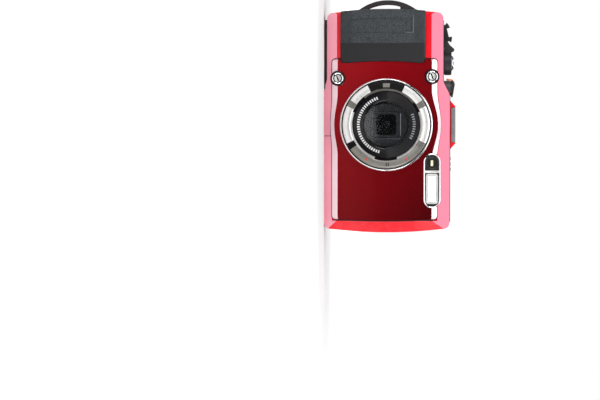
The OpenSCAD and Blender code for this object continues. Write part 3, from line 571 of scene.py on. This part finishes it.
def plate_ring(d, y, steps=420):
    ring = []
    for i in range(steps):
        a = TAU * i / steps
        lo, hi = 5.0, 70.0
        for _ in range(34):
            mid = (lo + hi) / 2
            if plate_field(12 + mid * math.cos(a), 30.4 + mid * math.sin(a), d) < 0:
                lo = mid
            else:
                hi = mid
        ring.append((12 + lo * math.cos(a), y, 30.4 + lo * math.sin(a)))
    return ring


GRIP_CORNER = 2.2


def corner_pull(from_edge):
    """How far a rounded corner of the grip draws in, at a distance from its long side."""
    return GRIP_CORNER - math.sqrt(max(0.0, GRIP_CORNER ** 2 - max(0.0, GRIP_CORNER - from_edge) ** 2))


def grip_outline(gap):
    half = 21.05 + gap
    steps = [0.0, 0.06, 0.25, 0.6, 1.1, 1.7, 2.3] + [2.3 + (half - 2.3) * k / 9 for k in range(1, 10)]
    edge = []
    for u in [s - half for s in steps] + [half - s for s in steps[-2::-1]]:
        t = u / half
        edge.append((-27.8 - 1.1 * (1 - t * t) + gap - corner_pull(half - abs(u)), 29.45 + u))
    return edge + [(-70, 50.5 + gap), (-70, 8.4 - gap)]


KNOBS = (("release_knob", (-20.4, 6.9), "release", "release_button"),
         ("boss_knob", (-21.2, 54.0), "camera_body", "front_boss"))


def front():
    profile = [(0, -9.6), (0, -10.0), (0.1, -10.25), (2.5, -12.2), (2.8, -12.42), (3.25, -12.5)]
    plate = raw("plate_lacquer", *strip([plate_ring(d, y) for d, y in profile]))
    cut(plate, [prism("c", circle(*LENS, 23.45, 160), -20, 0), prism("c", stadium(-0.12), -20, 0),
                prism("c", grip_outline(0.2), -20, 0)]
        + [prism("c", circle(*at, 3.85, 64), -20, 0) for _, at, _, _ in KNOBS], merge=True)
    piece(plate, "plate_red", "camera_body", ["front_plate"], angle=28)
    plate.modifiers.new("normals", "WEIGHTED_NORMAL").keep_sharp = True
    # painted highlight: the bevels along the plate's long sides take the pale pink paint
    patch(plate, lambda c, n: int(n.y < -0.2 and n.y > -0.93 and abs(n.z) > 0.2 and abs(c.z - 30.4) > 20),
          "plate_facet_painted_highlight")

    def shell_front(x, z):
        return max(-11.0, -7.5 - 3.5 * z / 6.5, -7.5 - 3.5 * (62.9 - z) / 9.2, -7.5 - 3.5 * (56.8 - x) / 6.2)
    inner, outer = plate_ring(0.0, 0.0), plate_ring(-0.34, 0.0)
    seam = [[(x, shell_front(x, z) - h, z) for x, _, z in loop] for loop, h in
            ((inner, -0.2), (inner, 0.05), (outer, 0.05), (outer, -0.2))]
    verts, faces = strip(seam, close=False)
    n = len(inner)
    faces += [(3 * n + i, 3 * n + (i + 1) % n, (i + 1) % n, i) for i in range(n)]
    line = cut(raw("plate_seam", verts, faces), [prism("c", grip_outline(0.2), -20, 0)])
    piece(line, "seam_dark", "camera_body")

    facet = [(-7.5 - 3.5 * z / 6.5, z) for z in (0.35, 5.2)]
    across = prism("shell_seam", [(y - 0.05, z - 0.02) for y, z in facet] + [(y + 0.3, z + 0.1) for y,
                                                                             z in facet[::-1]],
                   8.2, 8.5, "yz")
    piece(across, "seam_dark", "camera_body")

    # grip: rows along Z, columns along the section
    section = [(-55, -9.6), (-55, -10.6), (-55, -11.6)]
    section += [(-52.2 - 2.8 * math.cos(math.radians(a)), -11.6 - 2.8 * math.sin(math.radians(a)))
                for a in range(12, 91, 13)]
    section += [(x, -14.45 - 0.25 * min(1, (x + 51.9) / 4)) for x in (-51, -50.35, -50.05, -49, -48, -47)]
    section += [(x, -14.7 + 0.1 * (x + 46) / 7) for x in (-46, -45, -44, -43.15, -42.85, -42, -41, -40, -39)]
    section += [(-38.5, -14.52), (-38.1, -14.36), (-37.8, -14.2), (-37.3, -14.13)]
    section += [(x, -14.2 + 1.3 * (x + 37.8) / 10) for x in (-36, -34, -32, -30, -28.6)]
    section += [(-28.1, -12.9), (-27.85, -12.7), (-27.8, -12.3), (-27.8, -9.6)]
    heights = [8.4, 8.5, 8.75, 9.2, 10.4, 11.8, 12.8, 13.3, 13.65, 13.95]
    heights += [14.6 + 1.45 * k for k in range(20)]
    heights += [43.0, 43.55, 43.85, 44.6, 45.0, 45.4, 46.4, 47.8, 49, 49.7, 50.15, 50.4, 50.5]
    rings = []
    for z in heights:
        row = []
        swell = 2.2 * ((z - 31) / 31) ** 2
        t = (z - 29.45) / 21.05
        bow = 1.1 * (1 - t * t)
        edge = min(z - 8.4, 50.5 - z)
        for x, y in section:
            front_share = max(0.0, min(1.0, (-10.6 - y) / 2.0))
            sink = 0.55 * max(0.0, 1 - edge / 0.8) ** 2
            low = max(13.4 - z, z - 45.1)
            sink += 0.11 * max(0.0, low)
            if -50.2 < x < -43.0 and 13.8 < z < 43.7:
                sink += 0.4
            left = max(0.0, min(1.0, (-44 - x) / 8))
            right = max(0.0, min(1.0, (x + 37.8) / 10))
            pull = corner_pull(edge) * max(0.0, min(1.0, (x + 31) / 3))
            row.append((x + swell * left - bow * right - pull, y + sink * front_share, z))
        rings.append(row)
    grip = raw("grip_skin", *strip(rings))
    piece(grip, "grip_rubber", "camera_body", ["grip_panel"], angle=24)
    tick = joined("grip_line", [brick("b", (-52, -14.75, 44.35), (-43.2, -14.3, 44.75), 0.12),
                                brick("b", (-43.4, -14.82, 40.2), (-43.0, -14.3, 44.75), 0.12)])
    piece(tick, "mark_dim", "camera_body")


def lens():
    rim = turned("bezel_rim", [(21.98, -9.6), (23.35, -9.6), (23.35, -13.55), (23.2, -13.95), (22.85, -14.45),
                               (22.6, -14.6), (22.3, -14.6), (22.05, -14.45), (21.98, -14.2)])
    piece(rim, "bright_metal", "camera_body", ["lens_bezel"], angle=40)

    ring = turned("turning_ring", [(18.5, -9.8), (21.2, -9.8), (21.7, -10.2), (21.7, -16.5), (21.55, -16.95),
                                   (21.2, -17.25), (20.7, -17.44), (20.3, -17.5), (18.5, -17.5),
                                   (18.2, -17.42),
                                   (17.9, -17.15), (16.95, -15.95), (16.9, -15.8), (16.9, -15.1),
                                   (18.5, -15.1)],
                  steps=240)
    cutters = []
    for hour in (10, 2, 8, 4):
        a = clock(hour)
        for k in (-1, 0, 1):
            b = a + k * math.radians(3.4)
            c, s = math.cos(b), math.sin(b)
            shape = []
            for r, w in ((17.2, -0.32), (22.5, -0.42), (22.5, 0.42), (17.2, 0.32)):
                shape.append((LENS[0] + r * c - w * s, LENS[1] + r * s + w * c))
            cutters.append(prism("c", shape, -20, -16.9))
    cut(ring, cutters)
    piece(ring, "ring_silver", "lens_ring", ["lens_ring"], angle=30)

    # painted reflection: the turned face is painted in sectors, black round 12 and grey from 4 to 8, for the
    # dark and dull reflections of the turned metal; the notches are painted grey and black as painted shade,
    # the inner rim has painted grey and black patches, and faces behind y = -15.3 mm are black
    def ring_face(c, n):
        r, hour = lens_polar(c)
        if c.y > -15.3:
            return 2
        if r > 17.6 and abs(hour % 2 - 1) > 0.83 and 1 < hour < 11 and abs(hour - 6) > 1:
            return 2 if 7 < hour < 9 else 1
        if r < 18.0:
            if hour > 10.7 or hour < 1.7:
                return 1
            return 0 if 2.3 < hour < 5.4 or 6.65 < hour < 9.7 else 2
        if hour > 11.17 or hour < 0.83:
            return 2
        return int(4.05 < hour < 7.85)
    patch(ring, ring_face, "ring_grey", "ring_black_painted_reflection_shade")

    def arc_patch(name, a0, a1, r0, r1, y0, y1, steps=24):
        inner = circle(*LENS, r0, steps, a0, a1 - a0)
        outer = circle(*LENS, r1, steps, a0, a1 - a0)
        return prism(name, inner + outer[::-1], y0, y1)

    wedge = arc_patch("ring_wedge", clock(12) - math.radians(5), clock(12) + math.radians(5), 18.6, 20.6,
                      -17.4, -17.6, 8)
    piece(wedge, "ring_grey", "lens_ring")
    dots = []
    for hour, shape in ((6, 0.35), (5.9, 0.35)):
        a = clock(hour)
        dots.append(arc_patch("t", a - 0.012, a + 0.012, 18.9, 20.6, -17.4, -17.57, 4))
    piece(joined("ring_ticks", dots), "lens_black", "lens_ring")
    red = [arc_patch("t", clock(h) - 0.022, clock(h) + 0.022, 19.3, 20.2, -17.4, -17.57, 6) for h in (7, 5)]
    piece(joined("ring_red_marks", red), "mark_red", "lens_ring")

    lugs = []
    for deg in (90, 210, 330):
        a = math.radians(deg)
        lugs.append(arc_patch("t", a - math.radians(12), a + math.radians(12), 16.95, 18.6, -13.3, -12.3))
    piece(joined("ring_lugs", lugs), "ring_silver", "lens_ring")

    names = turned("name_cone", [(11.75, -13.32), (15.2, -13.32), (15.2, -14.7), (16.6, -14.7),
                                 (16.62, -15.6),
                                 (16.5, -15.72), (16.2, -15.66), (12.3, -14.2), (11.95, -14.1),
                                 (11.75, -13.95)])
    piece(names, "deep_black", "camera_body", ["name_ring"], angle=35)
    # a plain scale of equal ticks round the cone, brighter on the side nearest the base
    for name, hour, sweep, material in (("name_marks", 11.4, 146, "mark_white"),
                                        ("name_ticks", 4.0, 54, "mark_shade")):
        marks = []
        r0, r1, h = 13.2, 14.6, math.radians(1.3)
        for turn in range(0, sweep, 5):
            a = clock(hour) + math.radians(turn) + h
            points = []
            for r, b in ((r0, a - h), (r1, a - h), (r1, a + h), (r0, a + h)):
                y = -14.2 - (r - 12.3) * 1.46 / 3.9
                points.append((LENS[0] + r * math.cos(b), y, LENS[1] + r * math.sin(b)))
            low = [(x, y + 0.06, z) for x, y, z in points]
            high = [(x, y - 0.03, z) for x, y, z in points]
            marks.append(raw("t", *strip([low, high])))
        piece(joined(name, marks), material, "camera_body")

    glass = turned("front_glass", [(0, -12.12), (11.3, -12.12), (11.45, -12.3), (11.45, -13.05),
                                   (11.2, -13.26),
                                   (0, -13.26)], closed=False, steps=96)
    piece(glass, "optical_glass", "camera_body", ["lens_window"], angle=30)

    def square(half, r, longer=0.0):
        tall = half + longer
        return rounded(LENS[0] - tall, LENS[1] - half, LENS[0] + tall, LENS[1] + half, r)
    disc = cut(prism("mask_disc", circle(*LENS, 10.6, 96), -12.0, -12.07),
               [prism("c", square(6.7, 1.8), -13, -11)])
    piece(disc, "lens_mask", "camera_body")
    surround = cut(prism("mask_frame", square(6.4, 1.7), -11.6, -11.9, edge=0.06),
                   [prism("c", square(4.95, 2.0, 0.5), -13, -11)])
    piece(surround, "lens_frame", "camera_body")
    # painted highlight: a grey line on the frame's top edge, and fainter lines on its +X and lower edges,
    # stand for light caught by those edges
    side = LENS[1] + 6.9
    mask_edge_highlight = brick("mask_edge_painted_highlight", (LENS[0] - 5.6, -12.1, side), (LENS[0] + 5.6, -11.95, side + 0.34), 0.05)
    piece(mask_edge_highlight, "mark_grey", "camera_body")
    mask_edge_highlight_faint = joined("mask_edge_painted_highlight_low", [brick("b", (LENS[0] + 6.9, -12.09, LENS[1] - 5.4),
                                           (LENS[0] + 7.12, -11.95, side), 0.05),
                                     brick("b", (LENS[0] - 5.6, -12.09, LENS[1] - 7.1),
                                           (LENS[0] + 5.6, -11.95, LENS[1] - 6.9), 0.05)])
    piece(mask_edge_highlight_faint, "mark_shade", "camera_body")
    back = prism("inner_baffle", square(5.3, 1.4, 0.5), -10.5, -10.7, edge=0.05)
    piece(back, "lens_void", "camera_body")
    dome = turned("inner_lens", [(0, -10.7), (2.5, -10.7), (2.42, -11.05), (2.15, -11.4), (1.7, -11.68),
                                 (1.1, -11.88),
                                 (0.5, -11.98), (0, -12.0)], closed=False, steps=64)
    piece(dome, "lens_coating", "camera_body", angle=40)

    for name, at, body, node in KNOBS:
        back = -9.3 if body == "release" else -8.7
        cap = turned(name, [(0, back), (3.6, back), (3.6, -12.7), (3.45, -12.95), (3.2, -13.05),
                            (2.98, -13.0),
                            (2.9, -12.8), (2.84, -12.98), (2.7, -13.15), (2.48, -13.22), (2.28, -13.12),
                            (2.16, -12.9),
                            (2.12, -12.5), (1.82, -12.5), (1.76, -12.95), (1.6, -13.2), (1.1, -13.32),
                            (0, -13.38)],
                     at, steps=72, closed=False)
        c, s = math.cos(math.radians(20)), math.sin(math.radians(20))
        cut(cap, [prism("c", [(at[0] + u * c - v * s, at[1] + u * s + v * c)
                              for u, v in ((-1.5, -0.32), (1.5, -0.32), (1.5, 0.32), (-1.5, 0.32))], -14,
                              -12.95)])
        piece(cap, "ring_silver", body, [node], angle=34)

        # the groove and the slot are painted black: painted shade in these recesses; the outer front rim is
        # black as well
        def knob_face(c, n, at=at):
            r = math.hypot(c.x - at[0], c.z - at[1])
            if c.y < -12.6 and r > 2.86 or 1.74 < r < 2.14 or r < 1.6 and (c.y > -13.1 or abs(n.y) < 0.5):
                return 1
            return 2 if r > 2 else 0
        patch(cap, knob_face, "deep_black", "bright_metal")


def flash():
    rim = [(0, -9.6), (0, -12.55), (0.12, -12.8), (0.32, -12.9), (0.55, -12.86), (0.72, -12.7), (0.78, -12.1),
           (0.78, -9.6)]
    rings = [[(x, y, z) for x, z in stadium(d)] for d, y in rim]
    n = len(rings[0])
    verts, faces = strip(rings, close=False)
    m = len(rings) - 1
    faces += [(m * n + i, m * n + (i + 1) % n, (i + 1) % n, i) for i in range(n)]
    piece(raw("flash_rim", verts, faces), "bright_metal", "camera_body", ["flash_bezel"],
          angle=35)
    insert = cut(prism("flash_insert", stadium(0.78), -10.9, -12.3),
                 [prism("c", circle(21.9, 54, 3.05, 64), -14, -11.0)])
    piece(insert, "lens_black", "camera_body")

    cell = turned("lamp_cell", [(0, -11.0), (3.0, -11.0), (3.0, -12.3), (2.75, -12.42), (2.5, -12.3),
                                (2.2, -11.5),
                                (0, -11.4)], (21.9, 54), steps=64, closed=False)
    piece(cell, "lens_black", "camera_body", ["lamp_window"], angle=35)
    led = prism("lamp_led", rounded(20.4, 53.35, 23.4, 54.65, 0.35), -11.3, -12.2, edge=0.15)
    piece(led, "lamp_cream", "camera_body")
    bar = brick("flash_divider", (25.6, -12.8, 50.3), (26.8, -12.0, 57.7), 0.25)
    piece(bar, "ring_silver", "camera_body")

    # ribbed window: the front surface waves along X
    columns = [28 + 13.4 * i / 134 for i in range(135)]
    rows = [51.7, 51.95, 52.3, 53, 54, 55, 55.7, 56.05, 56.3]
    verts, faces = [], []
    for x in columns:
        for z in rows:
            wave = 0.09 * math.sin(TAU * (x - 28) / 0.8)
            fall = 0.25 if z in (rows[0], rows[-1]) or x in (columns[0], columns[-1]) else 0.0
            verts.append((x, -12.72 + wave * (fall == 0) + fall, z))
    k = len(rows)
    for i in range(len(columns) - 1):
        for j in range(k - 1):
            faces.append((i * k + j, (i + 1) * k + j, (i + 1) * k + j + 1, i * k + j + 1))
    around = [i * k for i in range(len(columns))] + [(len(columns) - 1) * k + j for j in range(1, k)]
    around += [i * k + k - 1 for i in range(len(columns) - 2, -1, -1)] + [j for j in range(k - 2, 0, -1)]
    base = len(verts)
    verts += [(verts[v][0], -11.5, verts[v][2]) for v in around]
    m = len(around)
    faces += [(around[i], around[(i + 1) % m], base + (i + 1) % m, base + i) for i in range(m)]
    faces.append(tuple(range(base, base + m)))
    piece(raw("flash_lens", verts, faces), "flash_diffuser", "camera_body",
          ["flash_window"], angle=40)
    outer = rounded(27.2, 51.0, 42.2, 57.0, 1.3)
    inner = rounded(27.9, 51.6, 41.5, 56.4, 0.9)
    frame_rings = [[(x, y, z) for x, z in shape] for shape, y in
                   ((outer, -11.9), (outer, -12.7), (inner, -12.7), (inner, -11.9))]
    verts, faces = strip(frame_rings, close=False)
    n = len(outer)
    faces += [(3 * n + i, 3 * n + (i + 1) % n, (i + 1) % n, i) for i in range(n)]
    piece(raw("flash_frame", verts, faces), "ring_silver", "camera_body")


# ------------------------------------------------------------------ controls


def radial_bricks(name, centre, r0, r1, half, h0, h1, count, axis="z", skip=None):
    parts = []
    for k in range(count):
        a = TAU * k / count
        if skip and skip(math.degrees(a)):
            continue
        c, s = math.cos(a), math.sin(a)
        shape = [(centre[0] + r * c - w * s, centre[1] + r * s + w * c)
                 for r, w in ((r0, -half), (r1, -half * 0.55), (r1, half * 0.55), (r0, half))]
        parts.append(prism("t", shape, h0, h1, "xy" if axis == "z" else "xz"))
    return joined(name, parts)


def controls():
    at = (-28.2, 0.0)
    button = turned("shutter_cap", [(0, 55.6), (1.4, 55.6), (1.4, 62.4), (3.7, 62.4), (3.7, 64.2),
                                    (3.55, 64.45),
                                    (3.3, 64.55), (3.05, 64.6), (3.0, 64.95), (2.8, 65.08), (2.4, 65.1),
                                    (1.4, 64.98),
                                    (0, 64.92)], at, "z", 72, closed=False)
    piece(button, "control_silver", "shutter", ["shutter_button"], angle=34)
    ribs = radial_bricks("zoom_ribs", at, 5.6, 5.98, 0.2, 60.6, 63.5, 44, skip=lambda d: 150 < d < 210)
    piece(ribs, "control_black", "zoom_lever")
    halo = turned("zoom_halo", [(4.05, 63.8), (4.35, 63.8), (4.35, 63.98), (4.05, 63.98)], at, "z", 72)
    piece(halo, "control_silver", "zoom_lever")

    edge = [(-4.0, 61.5), (-5.02, 61.5), (-4.5, 64.58), (-2.95, 65.62), (-2.9, 65.45), (-4.3, 64.45),
            (-4.0, 64.4)]
    index = prism("log_index", [(-15.5 + x, z) for x, z in edge], -0.2, 2.2)
    piece(index, "index_orange", "log_lever")

    ring = turned("power_ring", [(3.45, 62.95), (3.6, 62.95), (3.9, 63.42), (3.45, 63.42)], (22.5, 1.0),
                  "z", 72)
    piece(ring, "bright_metal", "camera_body")
    symbol = circle(22.5, 1.0, 1.35, 28, math.radians(120), math.radians(300))
    symbol += circle(22.5, 1.0, 1.1, 28, math.radians(60), math.radians(-300))
    power = joined("power_symbol", [prism("t", symbol, 63.7, 63.79, "xy"),
                                    prism("t", [(22.37, 1.2), (22.63, 1.2), (22.63, 2.6), (22.37, 2.6)],
                                          63.7, 63.79, "xy")])
    piece(power, "control_black", "power")

    dial = (-42.0, 53.6)
    cap = turned("dial_face", [(0, 13.6), (8.1, 13.6), (8.1, 13.72), (7.9, 13.78), (6.9, 13.78),
                               (6.75, 13.68), (0, 13.66)],
                 dial, steps=96, closed=False)
    piece(cap, "top_grey", "mode_dial")
    pips = []
    spots = [23 + 40 * k for k in range(9)]
    for k, deg in enumerate(spots):
        a = math.radians(deg)
        x, z = dial[0] + 7.35 * math.cos(a), dial[1] + 7.35 * math.sin(a)
        if k % 3 == 0:
            pips.append(prism("t", circle(x, z, 0.42, 20), 13.7, 13.84))
        elif k % 3 == 1:
            pips.append(prism("t", [(x - 0.55, z - 0.3), (x + 0.55, z - 0.3), (x, z + 0.55)], 13.7, 13.84))
        else:
            pips.append(prism("t", [(x - 0.5, z - 0.18), (x + 0.5, z - 0.18), (x + 0.5, z + 0.18),
                                    (x - 0.5, z + 0.18)], 13.7, 13.84))
    piece(joined("dial_pips", pips), "mark_grey", "mode_dial")

    def rear_mark(name, shapes, y, body, material="mark_grey"):
        parts = [prism("t", shape, y - 0.05, y + 0.06) for shape in shapes]
        piece(joined(name, parts), material, body)

    rear_mark("menu_lines", [[(-47.6 + u, 11.2 + v) for u,
                              v in ((-1.1, k), (1.1, k), (1.1, k + 0.32), (-1.1, k + 0.32))]
                             for k in (-0.95, -0.15, 0.65)], 12.8, "menu")
    rear_mark("playback_arrow", [[(-29.4 + 0.75, 10.2), (-29.4 - 1.0, 11.2), (-29.4 + 0.75, 12.2)]], 12.8,
              "playback")
    rear_mark("info_mark", [circle(-47.6, 37.6, 0.7, 24)], 12.8, "info")
    waves = []
    for r in (0.7, 1.4, 2.1):
        a0, sweep = math.radians(50), math.radians(80)
        waves.append([(x, z) for x, z in circle(-28.4, 38.5, r, 14, a0, sweep)
                      + circle(-28.4, 38.5, r - 0.3, 14, a0 + sweep, -sweep)])
    rear_mark("wifi_waves", waves, 12.8, "wifi")
    dot = turned("movie_dot", [(0, 12.5), (1.15, 12.5), (1.15, 12.75), (1.0, 12.88), (0.5, 12.95),
                               (0, 12.97)],
                 (-25.6, 51.0), steps=40, closed=False)
    piece(dot, "mark_red", "movie")
    arrows = []
    for deg in (0, 90, 180, 270):
        a = math.radians(deg)
        c, s = math.cos(a), math.sin(a)
        arrows.append([(-38.5 + u * c - v * s, 25.6 + u * s + v * c) for u,
                       v in ((8.85, 0), (8.15, -0.6), (8.15, 0.6))])
    rear_mark("pad_arrows", arrows, 13.0, "arrow_pad")
    ring = turned("pad_lip", [(8.95, 12.9), (9.45, 12.9), (9.45, 13.02), (9.25, 13.1), (8.98, 13.02)],
                  (-38.5, 25.6), steps=96)
    piece(ring, "control_silver", "arrow_pad")


def socket_thread():
    verts, faces = [], []
    pitch, steps, turns = 1.27, 48, 4.6
    total = int(steps * turns)
    for i in range(total + 1):
        a = TAU * i / steps
        z = 0.35 + pitch * i / steps
        for r, dz in ((3.24, -0.42), (2.75, -0.08), (2.75, 0.08), (3.24, 0.42)):
            verts.append((r * math.cos(a), r * math.sin(a), z + dz))
    for i in range(total):
        for j in range(4):
            faces.append((i * 4 + j, i * 4 + (j + 1) % 4, (i + 1) * 4 + (j + 1) % 4, (i + 1) * 4 + j))
    faces += [(0, 1, 2, 3), tuple(total * 4 + j for j in (3, 2, 1, 0))]
    piece(raw("socket_thread", verts, faces), "steel", "camera_body")


# ------------------------------------------------------------------ stage


def area(name, where, aim, size, power, color=(1, 1, 1)):
    light = bpy.data.lights.new(name, "AREA")
    light.shape = "RECTANGLE"
    light.size, light.size_y = size
    light.energy = power
    light.color = color
    obj = bpy.data.objects.new(name, light)
    bpy.context.scene.collection.objects.link(obj)
    obj.location = where
    obj.rotation_euler = (Vector(aim) - Vector(where)).to_track_quat("-Z", "Y").to_euler()
    obj.visible_camera = False
    return obj


def stage():
    floor = raw("floor", [(-4000, -4000, 0), (4000, -4000, 0), (4000, 4000, 0), (-4000, 4000, 0)],
                [(0, 1, 2, 3)])
    floor.data.materials.append(floor_material())
    middle = (0.0, 0.0, 0.03)
    area("overhead", (-0.05, -0.15, 0.95), middle, (1.4, 0.8), 8.0)
    area("front_top", (-0.10, -0.78, 0.72), middle, (1.0, 0.5), 2.4)
    area("front_far", (0.85, -0.70, 0.26), middle, (0.5, 0.4), 3.3)
    area("front_near", (-0.85, -0.70, 0.26), middle, (0.5, 0.4), 3.5)
    area("back", (0.1, 0.95, 0.7), middle, (1.2, 0.6), 5.0)

    world = bpy.data.worlds.new("studio")
    bpy.context.scene.world = world
    world.use_nodes = True
    tree = world.node_tree
    back = tree.nodes["Background"]
    back.inputs["Color"].default_value = (0.03, 0.03, 0.032, 1)
    white = tree.nodes.new("ShaderNodeBackground")
    white.inputs["Color"].default_value = (1, 1, 1, 1)
    path = tree.nodes.new("ShaderNodeLightPath")
    mix = tree.nodes.new("ShaderNodeMixShader")
    tree.links.new(path.outputs["Is Camera Ray"], mix.inputs[0])
    tree.links.new(back.outputs[0], mix.inputs[1])
    tree.links.new(white.outputs[0], mix.inputs[2])
    tree.links.new(mix.outputs[0], tree.nodes["World Output"].inputs[0])

    scene = bpy.context.scene
    scene.view_settings.view_transform = "Standard"
    data = bpy.data.cameras.new("camera")
    cam = bpy.data.objects.new("camera", data)
    scene.collection.objects.link(cam)
    where = Vector((0.0028, -1.0125, 0.031))
    aim = Vector((0.0404, -0.0125, -0.0119))
    back_axis = (where - aim).normalized()
    up = Vector((-1, 0, 0))
    right = up.cross(back_axis).normalized()
    up = back_axis.cross(right)
    cam.matrix_world = Matrix(((right.x, up.x, back_axis.x, where.x), (right.y, up.y, back_axis.y, where.y),
                               (right.z, up.z, back_axis.z, where.z), (0, 0, 0, 1)))
    data.sensor_width = 36
    data.lens = 36 * (where - aim).length * 1000 / 300.4
    data.clip_start, data.clip_end = 0.05, 20
    scene.camera = cam


# ------------------------------------------------------------------ assembly

paint()
stage()
front()
lens()
flash()
controls()
socket_thread()

for name, (material, width) in {
    "front_cover": ("body_red", 0.5), "rear_cover": ("rear_black", 0.45), "top_plate": ("top_grey", 0.12),
    "base_plate": ("rear_black", 0.15), "gps_hump": ("body_red", 0.3), "antenna_cover": ("antenna_grey", 0.2),
    "bayonet_seat": ("lens_black", 0.1), "front_optics": ("optical_glass", 0),
    "lens_housing": ("lens_black", 0),
    "zoom_group": ("lens_black", 0.1), "guide_rods": ("steel", 0.05), "lead_screw": ("brass", 0.05),
    "zoom_motor": ("steel", 0.2), "image_sensor": ("board_green", 0.1), "ring_lock": ("steel", 0.05),
    "flash_unit": ("reflector", 0.1), "flash_capacitor": ("capacitor_sleeve", 0.2),
    "zoom_lever": ("control_black", 0.25),
    "power_button": ("control_silver", 0.2), "log_lever": ("control_black", 0.2),
    "mode_dial": ("control_black", 0.3),
    "movie_button": ("movie_key", 0.2), "arrow_pad": ("control_black", 0.15),
    "pad_gimbal": ("inner_plastic", 0.05),
    "ok_button": ("control_black", 0.25), "menu_button": ("control_black", 0.2),
    "playback_button": ("control_black", 0.2),
    "info_button": ("control_black", 0.2), "wifi_button": ("control_black", 0.2),
    "lcd_window": ("screen_glass", 0.15),
    "lcd_panel": ("display", 0.1), "battery_door": ("rear_black", 0.15),
    "battery_door_seal": ("seal_red", 0.1),
    "battery_latch": ("latch_grey", 0.08), "battery_lock": ("lock_yellow", 0.08),
    "connector_door": ("rear_black", 0.15),
    "connector_seal": ("seal_red", 0.1), "connector_latch": ("latch_grey", 0.08),
    "connectors": ("steel", 0.05),
    "battery": ("battery_wrap", 0.4), "chassis": ("steel", 0.1), "memory_card": ("card_blue", 0.2),
    "main_board": ("board_green", 0), "key_board": ("board_green", 0), "speaker": ("steel", 0.2),
    "tripod_socket": ("steel", 0.2), "strap_lug": ("control_black", 0.4), "case_screws": ("steel", 0.1),
}.items():
    dress(name, material, width, angle=20.3 if name == "front_cover" else 30)

facets()
